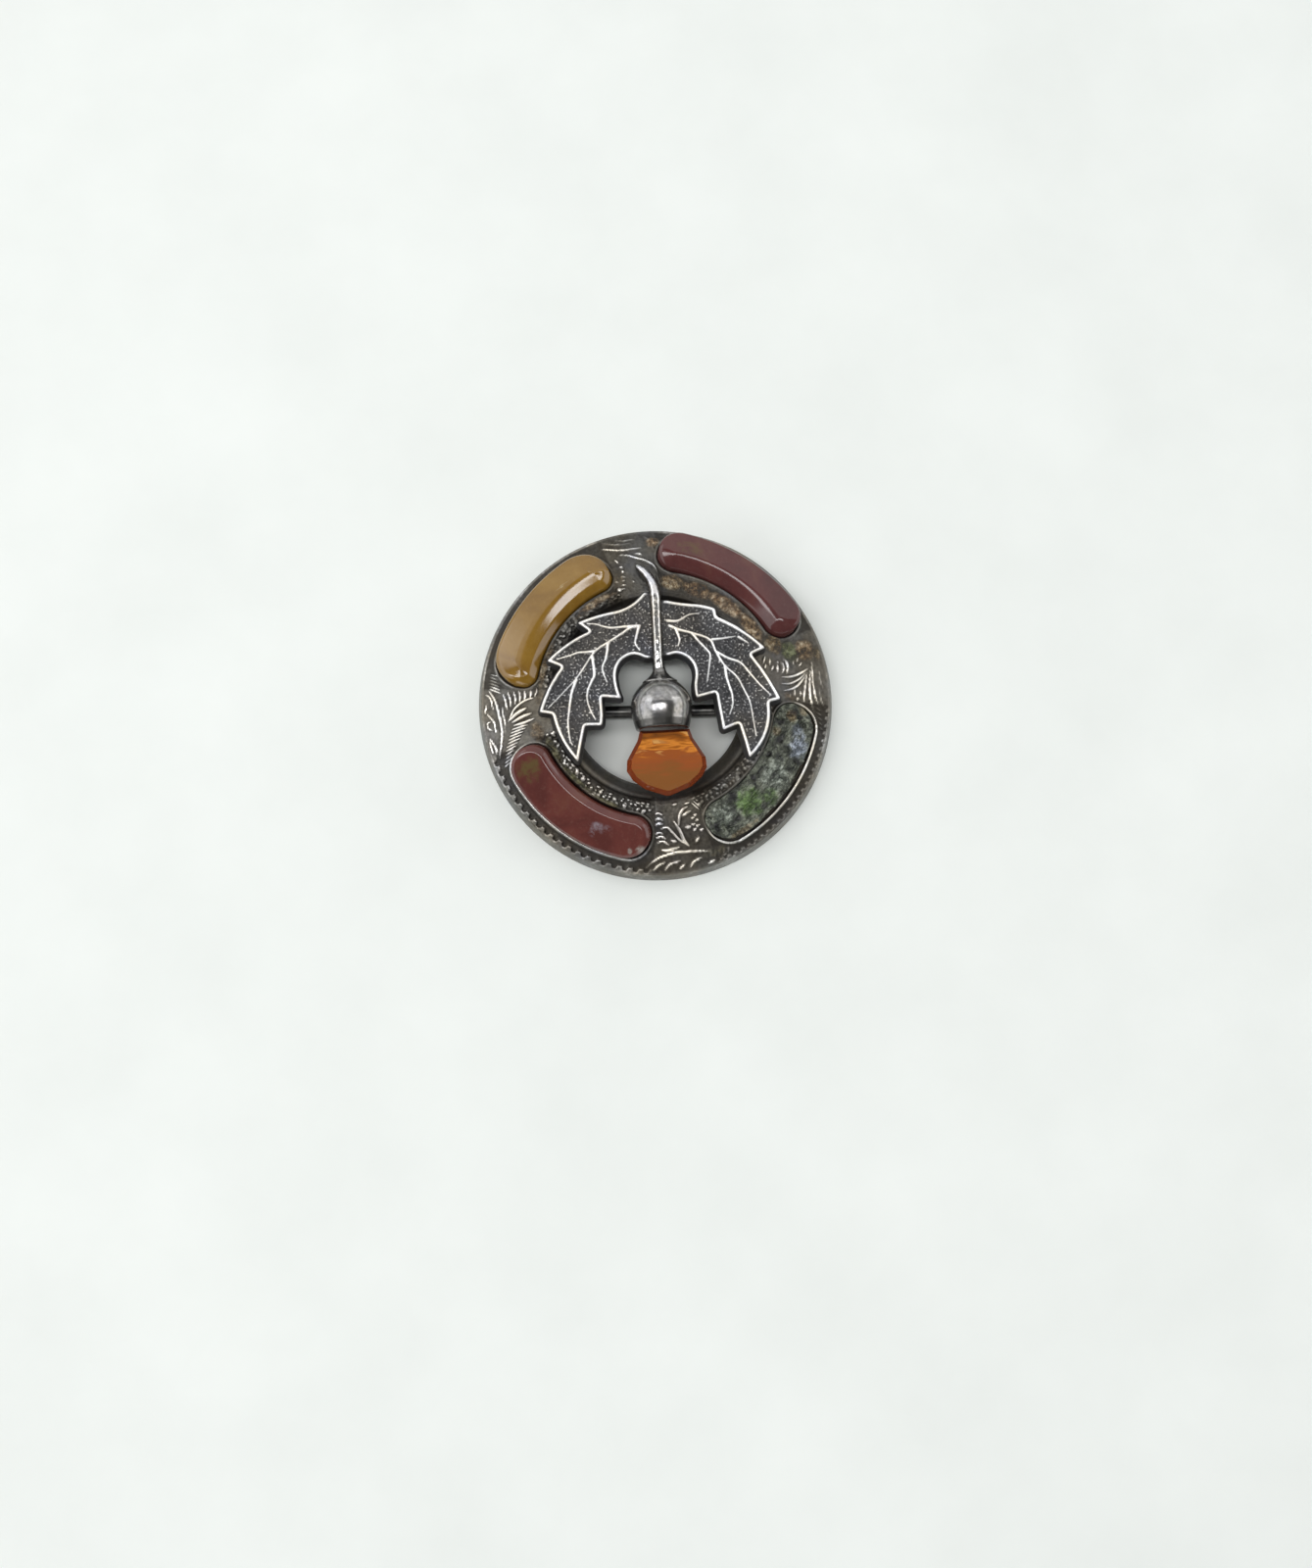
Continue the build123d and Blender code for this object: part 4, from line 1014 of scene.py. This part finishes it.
def stem(material):
    """The bent stem, with a tapering tip, a slightly beaten surface, and a top that is lighter for wear
    and for a painted highlight.
    """
    cells = rows(STEM_COLUMNS, STEM)
    flat = spray_points(1, [(c["across"], c["up"]) for c in cells])
    lifts = [LEAF_TOP + c["lift"] * STEM_RADIUS for c in cells]
    radii = [c["radius"] * STEM_RADIUS for c in cells]
    line = curve_points(np.column_stack([flat, lifts, radii]), 14)
    runs = np.gradient(line[:, :3], axis=0)
    points, wear_and_painted_light = [], []
    for place, run in zip(line, runs):
        run = Vector(run).normalized()
        side = run.cross(Vector((0, 0, 1))).normalized()
        other = run.cross(side)
        for k in range(STEM_SIDES):
            angle = 2 * math.pi * k / STEM_SIDES
            out = math.cos(angle) * side + math.sin(angle) * other
            point = Vector(place[:3]) + out * place[3]
            points.append(point + out * STEM_DENT * noise.noise(point / 0.6))
            # The stem's top is lighter: partly wear, partly a painted highlight along it.
            topside_wear_and_highlight = float(smooth(0.72, 0.95, out.z))
            wear_and_painted_light.append(0.2 + 0.75 * topside_wear_and_highlight + 0.25 * noise.noise(point / 0.3))
    faces = grid_faces(len(line), STEM_SIDES)
    faces.append(range(STEM_SIDES)[::-1])
    faces.append(range(len(points) - STEM_SIDES, len(points)))
    return mesh_object("stem", points, faces, material, {"wear_and_painted_light": wear_and_painted_light})


def ball(material):
    """The thistle's ball with its bell on the stem and its open mouth below, and painted shade on its
    lower band.
    """
    centre = Vector((SPRAY_AXIS_X, BALL_Y, LEAF_TOP))
    profile = curve_points(BALL_PROFILE, 3)
    points, wear_and_painted_light = [], []
    for up, radius in profile:
        for k in range(BALL_SIDES):
            angle = 2 * math.pi * k / BALL_SIDES
            point = Vector((radius * math.cos(angle), up, radius * math.sin(angle)))
            dent = BALL_DENT * noise.noise(point / 0.9) * min(1.0, radius)
            points.append(centre + point + point.normalized() * dent)
            # Painted shade: the band below the shade height gets a low value and comes out darker.
            wear_and_painted_light.append(0.5 if up > BALL_PAINTED_SHADE_HEIGHT else 0.2)
    faces = grid_faces(len(profile), BALL_SIDES)
    faces.append(range(BALL_SIDES)[::-1])
    return mesh_object("thistle_ball", points, faces, material, {"wear_and_painted_light": wear_and_painted_light})


# The stones.
def kidney_line(pocket, inset, count):
    """Points round a pocket's outline drawn in by inset, in the pocket's own plane."""
    middle = pocket["radius"]
    half_width = pocket["width"] / 2 - inset
    outer_round = pocket["outer_round"] * pocket["width"] - inset
    inner_round = (1 - pocket["outer_round"]) * pocket["width"] - inset
    half_turn = math.radians(pocket["span"] / 2) - inset / middle
    apex = middle + half_width - outer_round

    def round_end(share):
        """Radii and turns over a round end, from its outer side at 0 to its inner side at 1."""
        corner = np.where(share < 0.5, outer_round, inner_round)
        angle = math.pi * share
        return apex + corner * np.cos(angle), half_turn + corner * (np.sin(angle) - 1) / apex

    share = np.arange(count // 4) / (count // 4)
    outer_end, inner_end = half_turn - outer_round / apex, half_turn - inner_round / apex
    end_radius, end_turn = round_end(share)
    back_radius, back_turn = round_end(1 - share)
    outer = np.full(len(share), middle + half_width)
    inner = np.full(len(share), middle - half_width)
    radius = np.concatenate([outer, end_radius, inner, back_radius])
    outer_turn, inner_turn = mix(-outer_end, outer_end, share), mix(inner_end, -inner_end, share)
    turn = np.concatenate([outer_turn, end_turn, inner_turn, -back_turn])
    return np.column_stack([radius * np.cos(turn) - middle, radius * np.sin(turn)])


def pocket_loops(pocket, count, shares):
    """Loops from a pocket's outline inward to the curve along its middle, with each point's
    distance from the outline and its weight for the inner side."""
    outline = kidney_line(pocket, STONE_CLEARANCE, count)
    middle = pocket["radius"]
    end = math.radians(pocket["span"] / 2) - pocket["width"] / 2 / middle
    turn = np.clip(np.arctan2(outline[:, 1], outline[:, 0] + middle), -end, end)
    spine = np.column_stack([middle * np.cos(turn) - middle, middle * np.sin(turn)])
    quarters = np.arange(count + 1) / count * 4
    weights = smooth(1.15, 1.85, quarters) * (1 - smooth(3.15, 3.85, quarters))
    loops = []
    for share in shares:
        loop = mix(outline, spine, share)
        distance, along = line_distance(*loop.T, np.vstack([outline, outline[:1]]))
        loops.append((loop, distance, np.interp(along * count, np.arange(count + 1), weights)))
    return loops


def stitched(rings):
    """Points of stacked rings and the faces that join them: the first ring is closed by one
    face, and the last, drawn in to the pocket's middle curve, by a strip along that curve."""
    total = len(rings[0])
    faces = [range(total)[::-1]] + grid_faces(len(rings), total)
    last = (len(rings) - 1) * total
    quarter = total // 4
    for k in range(-quarter // 2, 3 * quarter // 2):
        corners = (k, k + 1, 3 * quarter - k - 1, 3 * quarter - k)
        strip = dict.fromkeys(last + corner % total for corner in corners)
        faces.append(tuple(strip))
    return np.vstack(rings), faces


def slope_drop(cells, side, distance):
    """How far the stone's face has fallen at a distance from its edge, from its slopes there."""
    steep, band, fade = cells[side + "_steep"], cells[side + "_band"], cells[side + "_fade"]
    places = np.linspace(0, SLOPE_REACH, SLOPE_STEPS + 1)
    slopes = np.interp(
        places,
        (0.0, steep, steep + STEEP_BLEND, band, band + fade),
        (STEEP_SLOPE, STEEP_SLOPE, cells[side + "_slope"], cells[side + "_slope"], 0.0),
    )
    window = np.ones(2 * SLOPE_BLUR + 1) / (2 * SLOPE_BLUR + 1)
    slopes = np.convolve(np.pad(slopes, SLOPE_BLUR, mode="edge"), window, "valid")
    fallen = np.cumsum(slopes[::-1])[::-1] * (places[1] - places[0])
    return np.interp(distance, places, fallen)


def patch_masks(node, hues, points):
    """How much of each hue's patches on a node covers each point."""
    x, y = points[:, 0], points[:, 1]
    turn, radius = np.degrees(np.arctan2(y, x)) % 360, np.hypot(x, y)
    masks = {hue: np.zeros(len(points)) for hue in hues}
    for cells in rows(PATCH_COLUMNS, PATCHES[node]):
        if cells["hue"] in hues:
            ragged = patch_distance(cells, radius, turn) + 0.5 * chatter(x, y, 0.5, cells["turn"])
            amount = cells["amount"] * smooth(1.3, 0.5, ragged)
            masks[cells["hue"]] = np.maximum(masks[cells["hue"]], amount)
    return masks


def stone(cells, pocket, material):
    """A slab with a polished face that slopes down to a steep edge."""
    bottom = STONE_CLEARANCE - POCKET_DEPTH
    rings = []
    for inset, z in ((0.05, bottom), (0.0, bottom + 0.1)):
        line = kidney_line(pocket, STONE_CLEARANCE + inset, STONE_SEGMENTS)
        rings.append(placed(pocket, line, z))
    shares = np.concatenate([[0.0, 0.02, 0.05], np.linspace(0.08, 0.97, STONE_LOOPS)])
    for line, distance, inner in pocket_loops(pocket, STONE_SEGMENTS, shares):
        falls = [slope_drop(cells, side, distance) for side in ("outer", "inner")]
        drop = mix(*falls, inner) + cells["bend"] * np.maximum(line[:, 1], 0) ** 2
        rings.append(placed(pocket, line, STONE_STAND - drop))
    points, faces = stitched(rings)
    masks = patch_masks(cells["node"], STONE_HUES, points)
    obj = mesh_object(cells["node"] + "_slab", points, faces, material, masks)
    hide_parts(cells["node"])
    return obj


def cement(pocket, material):
    """The broken bed of the lost stone, lumpy and hollow, over the pocket's floor."""
    bottom = STONE_CLEARANCE - POCKET_DEPTH + 0.02
    outline = kidney_line(pocket, STONE_CLEARANCE, CEMENT_SEGMENTS)
    rings = [placed(pocket, outline, bottom)]
    for line, _, _ in pocket_loops(pocket, CEMENT_SEGMENTS, np.linspace(0.0, 0.98, STONE_LOOPS)):
        coarse, middle, fine = (
            chatter(line[:, 0], line[:, 1], scale, seed)
            for scale, seed in ((1.1, 2.0), (0.42, 4.0), (0.2, 6.0))
        )
        z = bottom + 0.12 + 0.5 * smooth(-0.35, 0.6, coarse) + 0.42 * np.abs(middle) + 0.22 * fine
        hole = patch_masks("pocket_cement", ("hole",), placed(pocket, line, 0.0))["hole"]
        z = mix(np.minimum(z, STONE_CLEARANCE), bottom + 0.08, 0.8 * hole)
        rings.append(placed(pocket, line, z))
    points, faces = stitched(rings)
    masks = patch_masks("pocket_cement", CEMENT_CRUMBS, points)
    obj = mesh_object("cement_bed", points, faces, material, masks)
    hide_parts("pocket_cement")
    return obj


# Materials.
class Look:
    """A new material, and short ways to add nodes to it."""

    def __init__(self, name):
        self.material = bpy.data.materials.new(name)
        self.material.use_nodes = True
        self.tree = self.material.node_tree

    def put(self, socket, value):
        """Links a socket to another node's output, or sets its number, vector or colour."""
        if isinstance(value, bpy.types.NodeSocket):
            self.tree.links.new(value, socket)
        else:
            socket.default_value = (*value, 1.0) if socket.type == "RGBA" else value

    def node(self, kind, output, inputs, **settings):
        """Adds a node with its settings and inputs, and gives one of its outputs."""
        node = self.tree.nodes.new("ShaderNode" + kind)
        for name, value in settings.items():
            setattr(node, name, value)
        for name, value in inputs.items():
            self.put(node.inputs[name], value)
        return node.outputs[output]

    def shade(self, inputs):
        """Sets the shader's own inputs."""
        for name, value in inputs.items():
            self.put(self.tree.nodes["Principled BSDF"].inputs[name], value)

    def attribute(self, name):
        """A mask that the mesh carries."""
        return self.node("Attribute", "Fac", {}, attribute_name=name)

    def place(self):
        """The object's own metres."""
        return self.node("TexCoord", "Object", {})

    def grain(self, scale, detail=4.0, roughness=0.55, distortion=0.0, place=None):
        """Noise over the object: scale is in features for each millimetre."""
        place = self.place() if place is None else place
        inputs = {"Vector": place, "Scale": scale / MM, "Detail": detail}
        inputs.update(Roughness=roughness, Distortion=distortion)
        return self.node("TexNoise", "Fac", inputs)

    def ramp(self, source, stops):
        """Colours along a value."""
        colour = self.node("ValToRGB", "Color", {"Fac": source})
        elements = colour.node.color_ramp.elements
        while len(elements) < len(stops):
            elements.new(1.0)
        for element, (place, hue) in zip(elements, stops):
            element.position = place
            element.color = (*hue, 1.0)
        return colour

    def fade(self, source, low, high):
        """Black below low and white above high."""
        return self.ramp(source, ((low, BLACK), (high, WHITE)))

    def blend(self, share, a, b, kind="MIX"):
        """One colour over another."""
        inputs = {"Factor": share, "A": a, "B": b}
        return self.node("Mix", "Result", inputs, data_type="RGBA", blend_type=kind)

    def maths(self, operation, *values):
        """A calculation with up to three values."""
        return self.node("Math", "Value", dict(enumerate(values)), operation=operation)

    def swing(self, source, amount):
        """A noise's swing about its middle, scaled."""
        return self.maths("MULTIPLY", self.maths("SUBTRACT", source, 0.5), amount)

    def bump(self, height, strength, distance):
        """Fine roughness, with its depth in millimetres."""
        inputs = {"Strength": strength, "Distance": distance * MM, "Height": height}
        self.shade({"Normal": self.node("Bump", "Normal", inputs)})


def silver_material(name, colours, polish, dull, metal_share, crusted=False):
    """Cast silver: dark tarnish in the hollows, worn bright on the ridges, and lighter or darker where
    its mask paints light and shade.
    """
    look = Look(name)
    cloud, fine = look.swing(look.grain(0.3, 5.0), 0.55), look.swing(look.grain(2.6, 3.0), 0.35)
    # The mask carries wear, and also painted shade and highlights on the ball, stem and leaves.
    level = look.maths("ADD", look.maths("ADD", look.attribute("wear_and_painted_light"), cloud), fine)
    colour = look.ramp(level, tuple(zip((0.0, 0.42, 0.95), colours)))
    warm = look.ramp(look.grain(0.2, 3.0), ((0.44, WHITE), (0.6, (1.0, 0.93, 0.82))))
    cool = look.ramp(look.grain(0.26, 3.0, 0.5, 0.5), ((0.52, WHITE), (0.64, (0.93, 0.95, 1.04))))
    colour = look.blend(1.0, look.blend(1.0, colour, warm, "MULTIPLY"), cool, "MULTIPLY")
    rough = look.ramp(level, ((0.1, (dull,) * 3), (0.9, (polish,) * 3)))
    if crusted:
        crumbs = look.grain(1.1, 5.0, 0.7)
        brown, green = look.ramp(crumbs, BROWN_CRUST), look.ramp(crumbs, GREEN_CRUST)
        hue = look.blend(look.attribute("brown"), green, brown)
        speckle = look.fade(look.grain(1.6, 4.0, 0.7), 0.38, 0.56)
        thick = look.maths("ADD", look.maths("MULTIPLY", speckle, 0.55), 0.45)
        cover = look.maths("MULTIPLY", look.attribute("crust"), thick)
        colour = look.blend(cover, colour, hue)
        rough = look.blend(cover, rough, (0.7, 0.7, 0.7))
        metal_share = look.maths("MULTIPLY_ADD", cover, -0.9, metal_share)
    look.shade({"Base Color": colour, "Roughness": rough, "Metallic": metal_share})
    look.bump(look.maths("ADD", look.grain(3.0, 3.0), look.grain(8.0, 2.0)), 0.3, 0.025)
    return look.material


def jasper_material(cells):
    """Polished jasper: cloudy colour with fine specks, and patches where its masks say."""
    look = Look(cells["look"])
    stops = tuple(zip((0.36, 0.52, 0.68), (cells["deep"], cells["base"], cells["edge"])))
    colour = look.ramp(look.grain(0.2, 7.0, 0.6, 0.5), stops)
    dots = look.fade(look.grain(2.4, 5.0, 0.7), 0.52, 0.7)
    colour = look.blend(look.maths("MULTIPLY", dots, 0.3), colour, cells["speck"])
    for mask, hue in cells["patches"]:
        ragged = look.fade(look.grain(0.9, 6.0, 0.75), 0.40, 0.58)
        colour = look.blend(look.maths("MULTIPLY", look.attribute(mask), ragged), colour, hue)
    look.shade({"Base Color": colour, "Roughness": 0.13, "Specular IOR Level": cells["gloss"]})
    look.bump(look.grain(0.9, 4.0), 0.05, 0.05)
    return look.material


def cement_material():
    """Crumbly cement: near-black hollows of painted shade, with green, bluish, tan and grey crumbs by
    zone.
    """
    look = Look("old_cement")
    crumbs = look.grain(1.0, 6.0, 0.75, 0.5)
    colour = look.ramp(crumbs, CEMENT_GROUND)
    # The hole mask paints near-black shade into the hollows; the other masks are the crumbs' own colours.
    for mask, stops in CEMENT_CRUMBS.items():
        colour = look.blend(look.attribute(mask), colour, look.ramp(crumbs, stops))
    look.shade({"Base Color": colour, "Roughness": 0.3})
    look.bump(look.grain(2.2, 6.0, 0.7), 0.75, 0.12)
    return look.material


def citrine_material():
    """Amber-coloured glassy stone with faint level layers, a painted highlight band with painted
    highlight streaks, and painted shade that makes its sloping facets darker and redder.
    """
    look = Look("citrine")
    squash = {"Vector": look.place(), "Scale": (1.0, 4.5, 1.0), "Rotation": (0.0, 0.0, 0.06)}
    squashed = look.node("Mapping", "Vector", squash)
    layers = look.grain(0.42, 4.0, 0.5, 0.4, squashed)
    upward = look.node("SeparateXYZ", "Y", {"Vector": look.place()})
    down = look.maths("MULTIPLY", upward, -1 / (CITRINE_DEPTH * MM))
    down = look.maths("ADD", down, look.swing(layers, 0.6))
    # Painted highlight: a bright band across the face, with brighter streaks in it.
    band = look.ramp(down, ((0.52, BLACK), (0.57, WHITE), (0.78, WHITE), (0.84, BLACK)))
    highlight_streaks = look.maths("MULTIPLY", look.fade(layers, 0.56, 0.66), band)
    body = look.blend(highlight_streaks, look.ramp(down, CITRINE_BODY_AND_HIGHLIGHT), CITRINE_HIGHLIGHT_STREAK)
    # Painted shade: facets that face away from straight up are darker and redder.
    normal = look.node("TexCoord", "Normal", {})
    facing = look.node("SeparateXYZ", "Z", {"Vector": normal})
    colour = look.blend(look.fade(facing, 0.55, 0.98), CITRINE_FACET_SHADE, body)
    look.shade({"Base Color": colour, "Roughness": 0.05, "IOR": 1.55})
    look.shade({"Transmission Weight": 0.35})
    look.bump(look.grain(0.5, 3.0), 0.12, 0.08)
    return look.material


def pin_material():
    """Dull dark steel, mottled in dark greys."""
    look = Look("pin_metal")
    stops = ((0.35, (0.035, 0.035, 0.035)), (0.65, (0.12, 0.118, 0.11)))
    colour = look.ramp(look.grain(0.8, 4.0), stops)
    look.shade({"Base Color": colour, "Metallic": 0.9, "Roughness": 0.3})
    look.bump(look.grain(4.0, 3.0), 0.3, 0.03)
    return look.material


def paper_material():
    """Pale paper with a faint tooth."""
    look = Look("paper")
    stops = ((0.3, (0.80, 0.83, 0.80)), (0.7, (0.85, 0.88, 0.85)))
    colour = look.ramp(look.grain(0.05, 4.0), stops)
    look.shade({"Base Color": colour, "Roughness": 0.85, "Specular IOR Level": 0.2})
    look.bump(look.grain(1.1, 5.0), 0.12, 0.12)
    return look.material


# The stage.
def camera():
    """The camera at the photograph's place, aimed so that the brooch's centre is off-centre."""
    tilt, azimuth, roll = (math.radians(a) for a in (CAMERA_TILT, CAMERA_AZIMUTH, CAMERA_ROLL))
    across = math.sin(tilt)
    back = Vector((math.sin(azimuth) * across, -math.cos(azimuth) * across, math.cos(tilt)))
    up = (Vector((0, 1, 0)) - back * back.y).normalized()
    right = up.cross(back)
    turned_right = math.cos(roll) * right - math.sin(roll) * up
    turned_up = math.sin(roll) * right + math.cos(roll) * up
    basis = Matrix((turned_right, turned_up, back)).transposed()
    aside = (CENTRE_PIXEL[0] - IMAGE_WIDTH / 2) / FOCAL_PIXELS
    below = (CENTRE_PIXEL[1] - IMAGE_HEIGHT / 2) / FOCAL_PIXELS
    ray = Vector((aside, -below, -1.0)).normalized()
    aim = Vector((0, 0, -1)).rotation_difference(ray).to_matrix()
    data = bpy.data.cameras.new("camera")
    data.sensor_width = SENSOR_WIDTH
    data.lens = SENSOR_WIDTH * FOCAL_PIXELS / IMAGE_HEIGHT
    data.clip_start, data.clip_end = CAMERA_CLIPS
    obj = linked(bpy.data.objects.new("camera", data))
    turned = (basis @ aim.transposed()).to_4x4()
    obj.matrix_world = Matrix.Translation(back * CAMERA_DISTANCE * MM) @ turned
    return obj


def lights():
    """Soft lights that aim at the brooch, one overhead and four low round it, in a dim world."""
    for cells in rows(LIGHT_COLUMNS, LIGHTS):
        turn, lean = math.radians(cells["turn"]), math.radians(cells["lean"])
        flat = math.sin(lean)
        place = Vector((flat * math.cos(turn), flat * math.sin(turn), math.cos(lean)))
        data = bpy.data.lights.new(cells["name"], "AREA")
        data.shape = "RECTANGLE"
        data.size, data.size_y = cells["width"], cells["height"]
        data.energy = cells["power"]
        obj = linked(bpy.data.objects.new(cells["name"], data))
        obj.location = place * cells["distance"]
        about_own_axis = Quaternion((0, 0, 1), math.radians(cells["spin"]))
        obj.rotation_euler = (place.to_track_quat("Z", "Y") @ about_own_axis).to_euler()
    world = bpy.data.worlds.new("studio")
    world.use_nodes = True
    background = world.node_tree.nodes["Background"]
    background.inputs["Color"].default_value = (*WORLD_COLOUR, 1.0)
    background.inputs["Strength"].default_value = WORLD_STRENGTH
    bpy.context.scene.world = world
    bpy.context.scene.view_settings.view_transform = "Standard"


def floor():
    """The paper that the brooch lies on."""
    half = PAPER_HALF_WIDTH
    corners = [(-half, -half, 0), (half, -half, 0), (half, half, 0), (-half, half, 0)]
    mesh = bpy.data.meshes.new("paper_floor")
    mesh.from_pydata(corners, [], [(0, 1, 2, 3)])
    mesh.materials.append(paper_material())
    obj = linked(bpy.data.objects.new("paper_floor", mesh))
    return obj


def main():
    """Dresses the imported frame."""
    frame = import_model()
    bpy.context.scene.camera = camera()
    lights()
    floor()
    chased, plain, leafy = (silver_material(**cells) for cells in rows(SILVER_COLUMNS, SILVERS))
    body = ring(chased)
    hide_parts("silver_frame")
    leaf("leaf_left", -1, LEFT_LEAF, LEFT_VEINS, leafy, 11.0)
    leaf("leaf_right", 1, RIGHT_LEAF, RIGHT_VEINS, leafy, 23.0)
    stem(plain)
    ball(plain)
    pockets = {pocket["node"]: pocket for pocket in rows(POCKET_COLUMNS, POCKETS)}
    shapes = {cells["node"]: cells for cells in rows(STONE_COLUMNS, STONES)}
    for cells in rows(JASPER_COLUMNS, JASPERS):
        node = cells["node"]
        stone(shapes[node], pockets[node], jasper_material(cells))
    cement(pockets["pocket_cement"], cement_material())
    for node, material in (("citrine", citrine_material()), ("pin", pin_material())):
        obj = frame["nodes"][node]
        obj.data.materials.clear()
        obj.data.materials.append(material)


main()
